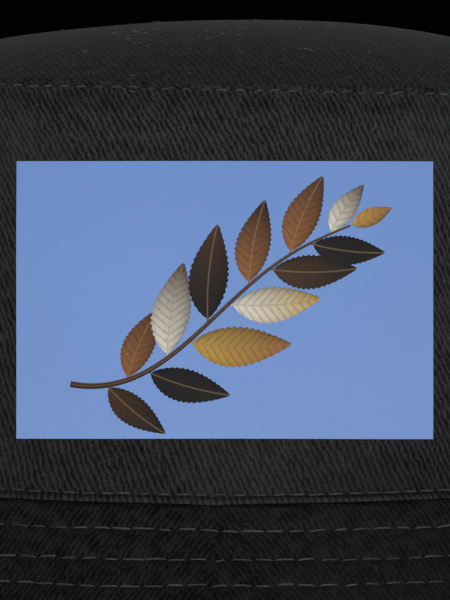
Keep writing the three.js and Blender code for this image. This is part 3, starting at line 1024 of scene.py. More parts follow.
class HAT_OT_side_panels(bpy.types.Operator):
    """Front and back halves of the crown's side, with their real eyelet holes"""

    bl_idname = "hat.side_panels"
    bl_label = "Side panels"

    def execute(self, context):
        scene = context.scene
        shape = scene.hat_shape
        cloth = scene.hat_cloth
        hem_offset, hem_climb = self.hem()
        hem_top = hem_climb[-1]
        margin = 5 * MM
        near_base = np.linspace(hem_top, margin, 14)[1:]
        near_top = shape.crown_height - np.linspace(margin, 0, 9)
        between = np.linspace(margin, shape.crown_height - margin, 78)[1:-1]
        climbs = np.concatenate([hem_climb, near_base, between, near_top])[:, None]
        offsets = np.zeros_like(climbs)
        offsets[: len(hem_offset), 0] = hem_offset
        for name, middle, facing in (("side_panel_front", 0.0, -1), ("side_panel_back", HALF_TURN, 1)):
            angles = np.linspace(middle - QUARTER_TURN, middle + QUARTER_TURN, 331)
            outer = crown_cloth(shape, cloth, angles[None], np.maximum(climbs, hem_top), offsets)
            outer[..., 2] += np.minimum(climbs - hem_top, 0)
            inner_climbs = np.maximum(climbs, 0.4 * MM)
            offset = inner_offset(shape, cloth, angles[None], inner_climbs)
            inner = wall(shape, angles[None], inner_climbs, offset)
            pattern = unrolled(shape, angles - middle, side_steepness(shape))
            flat = flat_place(pattern, climbs + 0 * angles[None])
            if name == "side_panel_front":
                flat = pulled_grain(flat)
            made = shell(outer, inner, flat, closed_round=False)
            shade = both_faces(self.shading(shape, climbs, outer[..., 0]))
            piece = add_piece(name, *made, twill_of(scene), "twill", [name], darkening=shade)
            self.cut_holes(piece, facing)
        return {"FINISHED"}

    def shading(self, shape, climbs, x):
        """Darkening at heights over the base seam and places across. The folded hem is nearly black and the
        groove of the base stitches half so, both painted shade. The cloth is darker low down, and under the
        top seam's crease and in a broad fold low on the right it carries painted shade. Along the ridge the
        darkening low down and under the seam is taken off, a painted highlight on the rolled edge."""
        # Painted shade: nearly black in the folded hem's crevice, half as dark in the groove of the base
        # stitches
        folded_in_shade = 0.9 * np.clip((0.14 * MM - climbs) / (0.14 * MM), 0, 1)
        groove = 0.5 * bump(climbs - BASE_ROW + 0.42 * MM, 0.3 * MM)
        # Painted highlight: the rolled ridge above the hem is spared the darkening
        lit_ridge = bump(climbs - 0.6 * MM, 0.5 * MM)
        low_down = 0.27 - 0.24 * climbs / shape.crown_height
        # Painted shade under the crease of the top seam
        under_seam_shade = 0.22 * bump(shape.crown_height - climbs - 2.7 * MM, 2.0 * MM)
        # Painted shade of a broad fold low on the right
        right = np.clip((x - 5 * MM) / (20 * MM), 0, 1)
        shadow_low_right = 0.22 * right * bump(climbs - 4 * MM, 6 * MM)
        return np.maximum(folded_in_shade, groove) + (low_down + under_seam_shade) * (1 - lit_ridge) + shadow_low_right

    def hem(self):
        """Folded lower edge, from inside to outside: a nearly level run and then a quarter circle up to the
        ridge. Gives offset from the ridge and height over the base seam."""
        radius = 0.36 * MM
        overhang = 0.10 * MM
        turns = np.linspace(-QUARTER_TURN, 0, 6)
        offset = np.concatenate([[-1.6 * MM, -0.9 * MM], radius * (np.cos(turns) - 1)])
        rise = np.concatenate([[0.12 * MM, 0.03 * MM], radius * np.sin(turns) + radius])
        return offset, rise - overhang

    def cut_holes(self, piece, facing):
        """Cuts a round hole for each eyelet on this panel, which faces front (-1) or back (1)."""
        for centre in EYELETS.values():
            if centre.y * facing <= 0:
                continue
            # The side faces mostly left or right there, and a little to the front or the back
            outward = Vector((centre.x, centre.y * 0.35, 0)).normalized()
            size = {"radius": EYELET_HOLE, "depth": 12 * MM}
            bpy.ops.mesh.primitive_cylinder_add(vertices=32, location=centre, **size)
            cutter = bpy.context.object
            cutter.rotation_mode = "QUATERNION"
            cutter.rotation_quaternion = outward.to_track_quat("Z", "Y")
            hole = piece.modifiers.new("hole", "BOOLEAN")
            hole.object = cutter
            hole.operation = "DIFFERENCE"
            hole.solver = "EXACT"
            holed = piece.evaluated_get(bpy.context.evaluated_depsgraph_get())
            cut = bpy.data.meshes.new_from_object(holed)
            piece.modifiers.clear()
            piece.data = cut
            cut.name = piece.name
            bpy.data.objects.remove(cutter)


class HAT_OT_tip(bpy.types.Operator):
    """Domed oval top whose rim rolls down to the top seam"""

    bl_idname = "hat.tip"
    bl_label = "Tip"

    columns = 520
    rim_inset = 0.0045  # share of the radius over which the dome turns into its rim

    def execute(self, context):
        scene = context.scene
        shape = scene.hat_shape
        angles = np.linspace(0, FULL_TURN, self.columns, endpoint=False)[None]
        reaches = (1 - self.rim_inset) * np.sin(np.linspace(0, QUARTER_TURN, 74))[:, None]
        outer_dome = dome(shape, angles, reaches, 0.0)
        along = seam_length(shape, angles)
        from_rim = (1 - reaches) * shape.opening_half_length
        soft = tip_sag(outer_dome[..., 0], outer_dome[..., 1]) * (1 - reaches**6)
        puckers = 0.13 * MM * gathers(along, from_rim, 22, 7 * MM) * (1 - bump(1 - reaches, 0.012))
        outer_dome[..., 2] += soft + puckers
        thick = 0.9 * MM
        inner_dome = dome(shape, angles, reaches * 0.985, thick)
        inner_dome[..., 2] += soft
        roll = self.rim(shape, angles)
        lining = np.broadcast_to(inner_dome[-1], roll.shape).copy()
        lining[..., 2] -= np.linspace(0, thick, len(roll))[:, None]
        outer = np.concatenate([outer_dome, roll])[::-1]
        inner = np.concatenate([inner_dome, lining])[::-1]
        flat = self.flat(shape, reaches, len(roll))
        made = shell(outer, inner, flat, closed_round=True)
        shade = both_faces(self.shading(outer[..., 0], reaches[::-1]))
        cloth = twill_of(scene, "tip_twill")
        add_piece("crown_tip", *made, cloth, "twill", ["crown_tip"], merged=True, darkening=shade)
        return {"FINISHED"}

    def shading(self, x, reaches):
        """Darkening of rows from the roll up to the top of the dome, which is painted shade: a tenth on the
        roll, and on the dome a quarter that lessens towards its rim and towards the right. It keeps the
        dome, which catches top light and sheen, about as dark as the side."""
        rolled = len(x) - len(reaches)
        near_rim = np.clip((reaches - 0.64) / 0.36, 0, 1)
        across = np.clip(x[rolled:] / (35 * MM), -1, 1)
        shade = np.full(x.shape, 0.10)
        shade[rolled:] = 0.235 - 0.06 * across - 0.16 * near_rim
        return shade

    def rim(self, shape, angles):
        """Rolled rim: an arc from the dome's last slope to straight down, then a turn inwards to the
        seam."""
        start = math.atan(shape.dome_rise * shape.dome_power / shape.opening_half_length)
        inset = self.rim_inset * shape.opening_half_length
        radius = 0.95 * MM
        turns = np.linspace(start, QUARTER_TURN, 8)[1:]
        offset = radius * (np.sin(turns) - math.sin(start)) - inset
        fall = radius * (math.cos(start) - np.cos(turns)) - inset * math.tan(start)
        offset = np.concatenate([offset, offset[-1] + np.array([-0.02, -0.10, -0.30, -0.65, -1.1]) * MM])
        fall = np.concatenate([fall, fall[-1] + np.array([0.22, 0.42, 0.58, 0.66, 0.68]) * MM])
        along = seam_length(shape, angles)
        sag = 0.08 * MM * waves(along, 0, 23, 5 * MM, 26 * MM)
        x, y = top_oval(shape, angles, offset[:, None])
        seam_x, _ = top_oval(shape, angles)
        return points_of(x, y, tip_rim_height(shape, seam_x) - fall[:, None] + sag)

    def flat(self, shape, reaches, extra):
        """Cloth coordinates: the plan of the dome, carried on outwards over the rim; one column extra."""
        angles = np.linspace(0, FULL_TURN, self.columns + 1)[None]
        x, y = top_oval(shape, angles)
        plan = points_of(x * reaches, y * reaches, 0.0)
        x, y = top_oval(shape, angles, np.linspace(0, 3, extra)[:, None] * MM)
        return np.concatenate([plan, points_of(x, y, 0.0)])[::-1, :, :2]


class HAT_OT_brim(bpy.types.Operator):
    """Upper and under layers of the brim, each in two halves that meet at the front and the back"""

    bl_idname = "hat.brim"
    bl_label = "Brim"

    def execute(self, context):
        scene = context.scene
        shape = scene.hat_shape
        cloth = twill_of(scene, "brim_twill")
        join = angle_at(shape, shape.join_across)
        spans = {"right": (join, HALF_TURN), "left": (-HALF_TURN, join)}
        near_edge = np.linspace(brim_roll_end(shape), 53.4 * MM, 9)
        quilted = np.linspace(52.8, 2.9, 76) * MM
        near_seam = np.linspace(2.7, -1.2, 27) * MM
        slants = np.concatenate([near_edge, quilted, near_seam])
        for side, layer in enumerate(("upper", "under")):
            for hand, (first, last) in spans.items():
                angles = np.linspace(first, last, 431)
                outer = brim_cloth(shape, scene.hat_stitching, angles[None], slants[:, None], side)
                inner = self.hidden_face(shape, angles, slants, side)
                pattern = unrolled(shape, angles, shape.brim_angle)
                flat = flat_place(pattern, -slants[:, None] + 0 * angles[None])
                if hand == "left":
                    flat = flat * np.array([-1, 1])
                made = shell(outer, inner, flat, closed_round=False, flipped=side == 1)
                name = f"brim_{layer}_{hand}"
                # Painted shade: the whole brim is a little darker, on top of its darker twill
                shade = np.full(outer.shape[:2], 0.08)
                if side == 0:
                    shade = shade + self.shading(slants[:, None], angles[None], outer[..., 0])
                add_piece(name, *made, cloth, "twill", [name], darkening=both_faces(shade))
        return {"FINISHED"}

    def shading(self, slants, angles, x):
        """Darkening of the upper face: painted shade makes the crevice under the crown's edge nearly black,
        the cloth past the first row is darker but for the paler channel after it, and painted shade darkens
        the right of the front, where more of the key light falls."""
        # Painted shadow in the crevice under the crown's edge
        crevice = 0.85 * bump(np.maximum(slants - 0.85 * MM, 0), 0.30 * MM)
        further_out = 0.15 * np.clip((slants - 6 * MM) / (4 * MM), 0, 1)
        paler_channel = 0.09 * bump(slants - 11.4 * MM, 2.4 * MM)
        at_front = np.maximum(np.cos(angles), 0) ** 2
        # Painted shade on the right of the front, to even out the key light from the right
        shade_to_right = 0.10 * np.clip(x / (45 * MM), -1, 1) * at_front
        return crevice + further_out - paler_channel + shade_to_right

    def hidden_face(self, shape, angles, slants, side):
        """Plain inner face of a layer, next to the middle of the brim's thickness."""
        half = shape.brim_thick / 2
        half_gap = 0.08 * MM
        end = brim_roll_end(shape) - half * (QUARTER_TURN - 1)
        run = np.minimum(slants, end)[:, None]
        height = -half + (half_gap if side == 0 else -half_gap)
        return brim(shape, angles[None], run, height - 0.5 * seam_dip(run))


class HAT_OT_lining(bpy.types.Operator):
    """Sweatband and the tapes that cover the seams inside the crown"""

    bl_idname = "hat.lining"
    bl_label = "Sweatband and tapes"

    def execute(self, context):
        scene = context.scene
        shape = scene.hat_shape
        ring = np.linspace(0, FULL_TURN, 481)
        turned = np.linspace(-1 * MM, 2 * MM, 9)
        climbs = np.concatenate([turned, np.linspace(3 * MM, SWEATBAND_TOP, 26)])
        turned_out = 2.8 * MM * np.clip((1.6 * MM - climbs[:, None]) / (2.6 * MM), 0, 1) ** 1.6
        offset = turned_out - SWEATBAND_INSET
        self.band(scene, "sweatband", ring, climbs, offset, SWEATBAND_THICK, 0.22 * MM)
        top = shape.crown_height
        climbs = np.linspace(top - 10 * MM, top - 0.3 * MM, 12)
        self.tape(scene, "top_seam_tape", ring, climbs)
        spread = 5 * MM / shape.opening_half_length
        climbs = np.linspace(30 * MM, top - 11 * MM, 46)
        for hand, middle in (("right", QUARTER_TURN), ("left", -QUARTER_TURN)):
            angles = np.linspace(middle - spread, middle + spread, 13)
            self.tape(scene, f"side_tape_{hand}", angles, climbs)
        return {"FINISHED"}

    def tape(self, scene, name, angles, climbs):
        """Band that lies close on the inner face of the side."""
        columns = self.columns(angles)
        face = inner_offset(scene.hat_shape, scene.hat_cloth, columns[None], climbs[:, None])
        self.band(scene, name, angles, climbs, face - 0.45 * MM, 0.5 * MM, 0.08 * MM)

    def columns(self, angles):
        """Columns of a band over these angles. One that reaches further than half round closes on itself,
        so its last column is its first."""
        closes = angles[-1] - angles[0] > HALF_TURN
        return angles[:-1] if closes else angles

    def band(self, scene, name, angles, climbs, offset, thick, softness):
        """Strip of cloth inside the side, thinner towards its two long edges: its outer and inner face lie
        half the thickness off a middle that ripples softly."""
        shape = scene.hat_shape
        columns = self.columns(angles)
        along = seam_length(shape, columns)
        climb = climbs[:, None] + 0 * columns[None]
        share = (climbs - climbs[0]) / (climbs[-1] - climbs[0])
        edge = 1 - np.clip(np.abs(2 * share - 1) * 12 - 11, 0, 1)[:, None] ** 2 * 0.8
        ripple = softness * waves(along[None], climb, 33, 7 * MM, 40 * MM)
        middle = offset - thick / 2 + ripple
        outer = wall(shape, columns[None], climb, middle + edge * thick / 2)
        inner = wall(shape, columns[None], climb, middle - edge * thick / 2)
        full_along = seam_length(shape, angles)
        flat = np.stack(np.broadcast_arrays(full_along[None], climbs[:, None]), axis=-1)
        made = shell(outer, inner, flat, closed_round=len(columns) < len(angles))
        add_piece(name, *made, lining_of(scene), "inner_cloth", [name])


class HAT_OT_stitching(bpy.types.Operator):
    """Every row of stitching, each stitch a float of thread"""

    bl_idname = "hat.stitching"
    bl_label = "Stitching"

    def execute(self, context):
        scene = context.scene
        shape = scene.hat_shape
        cloth = scene.hat_cloth
        stitching = scene.hat_stitching
        width = stitching.thread_width
        path = self.top_row(shape)
        made = stitches_along(path, 0, FULL_TURN, stitching.top_pitch, 1.42 * width, 71, TOP_HAND)
        self.sew(scene, "stitches_top_seam", made)
        path = self.base_row(shape, cloth)
        made = stitches_along(path, 0, FULL_TURN, stitching.base_pitch, 1.15 * width, 72, BASE_HAND)
        self.sew(scene, "stitches_base_seam", made)
        pitch = stitching.brim_pitch
        for side, layer in enumerate(("upper", "under")):
            rows = []
            for row in range(len(BRIM_ROWS)):
                path = self.brim_row(shape, stitching, row, side)
                seed = 80 + row + 10 * side
                made = stitches_along(path, -HALF_TURN, HALF_TURN, pitch, 1.2 * width, seed, BRIM_HAND)
                rows.append(made)
            self.sew(scene, f"stitches_brim_{layer}", joined(rows))
        sides = []
        for middle in (-QUARTER_TURN, QUARTER_TURN):
            path = self.side_row(shape, cloth, middle)
            sides.append(stitches_along(path, 4 * MM, shape.crown_height - 2 * MM, 3.2 * MM, width, 101))
        self.sew(scene, "stitches_side_seams", joined(sides))
        made = stitches_along(self.sweatband_row(shape), 0, FULL_TURN, 3.4 * MM, width, 102)
        self.sew(scene, "stitches_sweatband", made)
        return {"FINISHED"}

    def sew(self, scene, name, made):
        """Makes the rows of one seam a piece."""
        add_piece(name, *made, thread_of(scene), "thread")

    def top_row(self, shape):
        """Path round the top seam, sunk a little into it."""

        def path(angle, height):
            return wall(shape, angle, shape.crown_height + TOP_ROW, -0.2 * MM + height)

        return path

    def base_row(self, shape, cloth):
        """Path round the crown, on the cloth just over the base seam's ridge."""

        def path(angle, height):
            return crown_cloth(shape, cloth, angle, BASE_ROW + 0 * angle, height)

        return path

    def brim_row(self, shape, stitching, row, side):
        """Path of one brim row, on the cloth of its side."""
        sign = 1 if side == 0 else -1

        def path(angle, height):
            along = seam_length(shape, angle)
            slant = row_slant(row, along)
            relief = brim_relief(shape, stitching, angle, slant, side)
            level = (0 if side == 0 else -shape.brim_thick) + sign * (relief + height)
            return brim(shape, angle, slant, level)

        return path

    def side_row(self, shape, cloth, middle):
        """Upright path beside a side seam, on the back panel."""
        beside = SIDE_ROW / shape.opening_half_length
        angle = middle + math.copysign(beside, middle)

        def path(climb, height):
            return crown_cloth(shape, cloth, angle + 0 * climb, climb, height)

        return path

    def sweatband_row(self, shape):
        """Path round the sweatband, just off its inner face."""
        inset = SWEATBAND_INSET + SWEATBAND_THICK + 0.05 * MM

        def path(angle, height):
            return wall(shape, angle, SWEATBAND_ROW, -inset - height)

        return path


class HAT_OT_eyelets(bpy.types.Operator):
    """Ventilation holes bound with thread"""

    bl_idname = "hat.eyelets"
    bl_label = "Eyelets"

    def execute(self, context):
        scene = context.scene
        shape = scene.hat_shape
        fine = np.linspace(-HALF_TURN, HALF_TURN, 4001)
        for name, centre in EYELETS.items():
            climb = (centre.z - shape.seam_height) / (1 - shape.seam_skew * centre.x / shape.crown_height)
            miss = np.linalg.norm(wall(shape, fine, climb) - np.array(centre), axis=1)
            angle = fine[miss.argmin()]
            made = self.ring(scene, angle, climb)
            add_piece(name, *made, thread_of(scene), "thread", [name], sharp=80)
        return {"FINISHED"}

    def ring(self, scene, angle, climb):
        """Ring of overcast thread: a flattened torus whose tube swells and thins once for each wrap, laid on
        the plane that touches the cloth at this angle and climb."""
        shape = scene.hat_shape
        wraps = 46
        around = np.linspace(0, FULL_TURN, wraps * 6 + 1)[:-1, None]
        tube = np.linspace(0, FULL_TURN, 14, endpoint=False)[None]
        ripple = 1 + 0.16 * np.cos(wraps * around + 0.9 * np.sin(tube))
        radius = EYELET_RING + EYELET_BINDING * ripple * np.cos(tube)
        lift = 0.85 * MM * ripple * np.sin(tube) + 0.05 * MM
        step_across = np.array([0, MM, 0]) / shape.opening_half_length
        step_up = np.array([0, 0, MM])
        sunk = 0.25 * MM
        places = crown_cloth(shape, scene.hat_cloth, angle + step_across, climb + step_up, -sunk)
        middle, beside, above = places
        across = unit(beside - middle)
        outward = unit(np.cross(across, above - middle))
        up = np.cross(outward, across)
        level = across * (radius * np.cos(around))[..., None] + up * (radius * np.sin(around))[..., None]
        points = middle + level + outward * lift[..., None]
        rows, columns = points.shape[:2]
        place = np.arange(rows * columns).reshape(rows, columns)
        after = np.roll(place, -1, axis=0)
        quads = np.stack([place, after, np.roll(after, -1, axis=1), np.roll(place, -1, axis=1)], axis=-1)
        quads = quads.reshape(-1, 4)
        flat = np.stack(np.broadcast_arrays(tube * MM, around * 0.35 * MM), axis=-1).reshape(-1, 2)
        return points.reshape(-1, 3), [quads], flat[quads.ravel()]


class HAT_OT_lint(bpy.types.Operator):
    """Stray fibres and fluff that cling to the cloth"""

    bl_idname = "hat.lint"
    bl_label = "Lint"

    def execute(self, context):
        scene = context.scene
        # Surface, number of fibres, seed, and the lowest and highest angle and share of the way over it
        patches = (
            (self.tip_place, 70, 201, (-HALF_TURN, 0.1), (HALF_TURN, 0.94)),
            (self.tip_place, 110, 205, (-0.62, 0.45), (0.62, 0.97)),
            (self.side_place, 36, 202, (-HALF_TURN, 0.86), (HALF_TURN, 0.995)),
            (self.side_place, 12, 206, (-0.62, 0.985), (-0.1, 1.0)),
            (self.side_place, 30, 204, (0.7, 0.02), (FULL_TURN - 0.7, 0.86)),
            (self.brim_place, 60, 203, (-HALF_TURN, 0.03), (HALF_TURN, 0.9)),
        )
        parts = [self.fibres(scene, *patch) for patch in patches]
        fibre = material_once("lint_fibre", lint_material)
        add_piece("lint", *joined(parts), fibre, "thread")
        return {"FINISHED"}

    def fibres(self, scene, surface, count, seed, low, high):
        """Fibres with a random heading each that turns at a steady random rate, lying on the cloth with
        their middle a little raised."""
        draw = np.random.default_rng(seed)
        steps = 9
        span = draw.uniform(0.4, 1, (count, 1)) ** 2 * LONGEST_FIBRE
        turning = draw.normal(0, 0.9, (count, 1))
        share = np.linspace(0, 1, steps)[None]
        heading = draw.uniform(0, FULL_TURN, (count, 1)) + turning * share
        across = np.cumsum(np.cos(heading), axis=1) * span / steps
        up = np.cumsum(np.sin(heading), axis=1) * span / steps
        first = draw.uniform(low[0], high[0], (count, 1))
        second = draw.uniform(low[1], high[1], (count, 1))
        rise = (0.10 + 0.16 * np.sin(HALF_TURN * share) * draw.uniform(0, 1, (count, 1))) * MM
        middle = surface(scene, first, second, across, up, rise)
        raised = surface(scene, first, second, across, up, rise + MM)
        outward = (raised - middle)[:, steps // 2] / MM
        radius = np.broadcast_to(draw.uniform(0.02, 0.04, (count, 1)) * MM, (count, steps))
        return tubes(middle, outward, radius, sides=5)

    def tip_place(self, scene, angle, reach, across, up, height):
        """Points above the tip's cloth, a little across and up from a place on it."""
        shape = scene.hat_shape
        reach_now = np.minimum(reach + up / shape.opening_half_length, 0.992)
        point = dome(shape, angle + across / (shape.opening_half_length * reach), reach_now, 0.0)
        point[..., 2] += height + tip_sag(point[..., 0], point[..., 1]) * (1 - reach_now**6)
        return point

    def side_place(self, scene, angle, share, across, up, height):
        """Points off the side's cloth, a little across and up from a place on it."""
        shape = scene.hat_shape
        angle_now = angle + across / shape.opening_half_length
        climb = np.clip(share * shape.crown_height + up, 1 * MM, shape.crown_height)
        return crown_cloth(shape, scene.hat_cloth, angle_now, climb, height)

    def brim_place(self, scene, angle, share, across, up, height):
        """Points above the brim's cloth, a little across and down from a place on it."""
        shape = scene.hat_shape
        angle_now = angle + across / shape.opening_half_length
        slant = np.maximum(share * brim_slant(shape) + up, 1.5 * MM)
        relief = brim_relief(shape, scene.hat_stitching, angle_now, slant, 0)
        return brim(shape, angle_now, slant, relief + height)


class HAT_OT_label(bpy.types.Operator):
    """Blank satin label, tacked to the sweatband at its two ends"""

    bl_idname = "hat.label"
    bl_label = "Label"

    def execute(self, context):
        scene = context.scene
        shape = scene.hat_shape
        low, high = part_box("size_label")
        spread = (high.x - low.x) / 2 / shape.opening_half_length
        angles = np.linspace(HALF_TURN - spread, HALF_TURN + spread, 61)[None]
        climbs = np.linspace(low.z + 0.4 * MM, high.z - 0.4 * MM, 31)[:, None] - shape.seam_height
        share = (angles - HALF_TURN) / spread
        half_width = 15 * MM
        across = share * half_width
        half_thick = 0.12 * MM
        bow = 0.35 * MM * (1 - share**4) + 0.1 * MM * waves(across, climbs, 51, 8 * MM, 30 * MM)
        outer = wall(shape, angles, climbs, -LABEL_INSET - bow + half_thick)
        inner = wall(shape, angles, climbs, -LABEL_INSET - bow - half_thick)
        flat = np.stack(np.broadcast_arrays(across, climbs), axis=-1)
        made = shell(outer, inner, flat, closed_round=False)
        label = material_once("label_satin", label_material)
        add_piece("size_label", *made, label, "label_satin", ["size_label"])
        rows = []
        for end in (-0.9, 0.9):
            rows.append(self.end_row(scene, HALF_TURN + end * spread, climbs[0, 0], climbs[-1, 0]))
        add_piece("stitches_label", *joined(rows), thread_of(scene), "thread")
        return {"FINISHED"}

    def end_row(self, scene, angle, low, high):
        """Upright row of short stitches through an end of the label."""
        shape = scene.hat_shape

        def path(climb, height):
            return wall(shape, angle + 0 * climb, climb, -LABEL_INSET - 0.3 * MM - height)

        margin = 0.6 * MM
        width = 0.8 * scene.hat_stitching.thread_width
        return stitches_along(path, low + margin, high - margin, 2.2 * MM, width, 52)


def print_edges(across):
    """Lower and upper height of the print at a share across: both bow down with the square of the share."""
    low = PRINT_LOWER_EDGE - PRINT_LOWER_BOW * across**2
    high = PRINT_UPPER_EDGE - PRINT_UPPER_BOW * across**2
    return low, high


def on_print(scene, across, up, height):
    """Point on the front panel's cloth for shares across (-1 to 1) and up (0 to 1) of the print, which is a
    hair wider at its top. The side's angle and climb start from its plain oval and are corrected three times
    by how far the cloth's swells shift the point sideways and up."""
    shape = scene.hat_shape
    half_width = scene.hat_print.half_width * (1 + PRINT_SPREAD * (2 * up - 1))
    x = (PRINT_LOW.x + PRINT_HIGH.x) / 2 + PRINT_SHIFT + across * half_width
    low, high = print_edges(across)
    z = low + (high - low) * up
    climb = z - shape.seam_height
    swell = shape.crown_bulge * np.sin(np.pi * climb / shape.crown_height)
    oval_width = shape.opening_half_width + swell - shape.crown_lean * climb / shape.crown_height
    angle = angle_across(shape, oval_width, x)
    square = shape.squareness
    for _ in range(3):
        point = crown_cloth(shape, scene.hat_cloth, angle, climb, height)
        speed = oval_width * (np.cos(angle) + 3 * square * np.cos(3 * angle)) / (1 - square)
        angle = angle + (x - point[..., 0]) / speed
        climb = climb + z - point[..., 2]
    return crown_cloth(shape, scene.hat_cloth, angle, climb, height), angle, climb


class HAT_OT_print(bpy.types.Operator):
    """Sky-coloured print on the front, with a sprig of leaves"""

    bl_idname = "hat.print"
    bl_label = "Print"

    def execute(self, context):
        scene = context.scene
        shape = scene.hat_shape
        across = np.linspace(-1, 1, 141)[None]
        up = np.linspace(0, 1, 93)[:, None]
        rise = 0.10 * MM
        outer, angle, climb = on_print(scene, across, up, rise)
        inner, _, _ = on_print(scene, across, up, -rise)
        flat = pulled_grain(flat_place(unrolled(shape, angle, side_steepness(shape)), climb))
        made = shell(outer, inner, flat, closed_round=False)
        ink = material_once("sky_ink", print_material, scene.hat_cloth, scene.hat_print)
        add_piece("print_panel", *made, ink, "print_ink", ["print_panel"])
        self.sprig(scene)
        return {"FINISHED"}

    def sprig(self, scene):
        """Arching twig with leaves on both sides in turn, longest in the middle, and one at its end."""
        style = scene.hat_print
        # Ink at the base and at the point of each leaf in turn
        inks = (
            (style.brown, style.dark),
            (style.rust, style.brown),
            (style.dark, style.dark),
            (style.cream, style.brown),
            (style.ochre, style.rust),
            (style.dark, style.brown),
            (style.cream, style.ochre),
            (style.rust, style.dark),
        )
        films = []
        shares = 0.13 + 0.87 * np.arange(LEAVES) / (LEAVES - 1)
        for order, (along, x, y, heading) in enumerate(zip(shares, *self.twig(shares))):
            hand = 0 if order == LEAVES - 1 else 1 if order % 2 else -1
            lean = heading + hand * math.radians(60 - 20 * along)
            longest_midway = 12.5 * math.sin(math.pi * (0.12 + 0.8 * along))
            size = (7.5 + longest_midway + 1.2 * math.sin(5.1 * order)) * MM
            films.append(self.leaf(scene, (x, y), lean, size, inks[order % len(inks)], order, hand))
        films.append(self.stem(scene))
        leaf_ink = material_once("leaf_ink", leaf_material)
        piece = add_piece("print_sprig", *joined([film[:3] for film in films]), leaf_ink, "print_ink")
        layer = piece.data.color_attributes.new("tone", "FLOAT_COLOR", "POINT")
        tones = np.concatenate([film[3] for film in films])
        layer.data.foreach_set("color", tones.astype(np.float32).ravel())

    def twig(self, along):
        """Places and headings on the twig, from the print's middle: a slack curve from low on the left to
        high on the right that climbs faster and faster and levels out at its end."""
        share = along + np.array([[0.0], [0.01]])
        x = (-32 + 58 * share) * MM
        y = (-17.5 + 33 * share**1.35 - 3.2 * np.sin(FULL_TURN * share)) * MM
        return x[0], y[0], np.arctan2(y[1] - y[0], x[1] - x[0])

    def painted(self, scene, x, y, rise, flat, rgb):
        """Thin closed film on the print, from a grid of places, its flat map and its colours. Gives what a
        shell does, and the colour of each point."""
        half_width = scene.hat_print.half_width
        half_height = (PRINT_HIGH.z - PRINT_LOW.z) / 2
        across = x / half_width
        up = (1 + y / half_height) / 2
        sunk_rise = 0.04 * MM
        outer, _, _ = on_print(scene, across, up, rise)
        inner, _, _ = on_print(scene, across, up, sunk_rise)
        rgb = both_faces(np.broadcast_to(rgb, (*outer.shape[:2], 3))).reshape(-1, 3)
        tones = np.concatenate([rgb, np.ones((len(rgb), 1))], axis=1)
        return *shell(outer, inner, flat, closed_round=False), tones

    def leaf(self, scene, base, heading, size, shades, order, hand):
        """Toothed, pointed leaf: the half width is a skewed sine of the share along it, with small teeth on
        both edges, and its midrib bends back towards the twig. Its ink fades from the first shade to the
        second, is paler on one half and darker along both edges."""
        share = np.linspace(0, 1, 86)[:, None]
        side = np.linspace(1, -1, 15)[None]
        teeth_along = 17
        skewed = np.clip(share * 1.06 - 0.06, 0, 1) ** 0.82
        width = 0.19 * size * np.sin(np.pi * skewed) ** 0.9 + 0.009 * size
        teeth = 1 + 0.045 * np.abs(side) ** 3 * np.sin(FULL_TURN * teeth_along * share) * (share > 0.1)
        bend = -0.16 * hand * size * share**2
        aside = side * width * teeth + bend
        x = base[0] + size * share * math.cos(heading) - aside * math.sin(heading)
        y = base[1] + size * share * math.sin(heading) + aside * math.cos(heading)
        flat = np.stack(np.broadcast_arrays(share * size, side * width), axis=-1)
        near, far = (np.array(shade) for shade in shades)
        fade = np.clip(share * 1.15 - 0.15, 0, 1)[..., None] ** 1.2
        light = 1 + 0.22 * (side * (hand or 1))[..., None] - 0.35 * (side[..., None] ** 4)
        rgb = (near * (1 - fade) + far * fade) * light
        return self.painted(scene, x, y, (0.13 + 0.005 * order) * MM, flat, rgb)

    def stem(self, scene):
        """The twig itself, a strip that gets thinner towards its end."""
        share = np.linspace(0, 1, 90)
        span = 80 * MM
        x, y, heading = (values[:, None] for values in self.twig(share))
        side = np.linspace(1, -1, 5)[None]
        width = (0.62 - 0.42 * share)[:, None] * MM * side
        flat = np.stack(np.broadcast_arrays(share[:, None] * span, side * MM), axis=-1)
        rgb = np.array(scene.hat_print.brown) * (1 + 0.5 * side[..., None])
        x = x - width * np.sin(heading)
        y = y + width * np.cos(heading)
        return self.painted(scene, x, y, 0.22 * MM, flat, rgb)


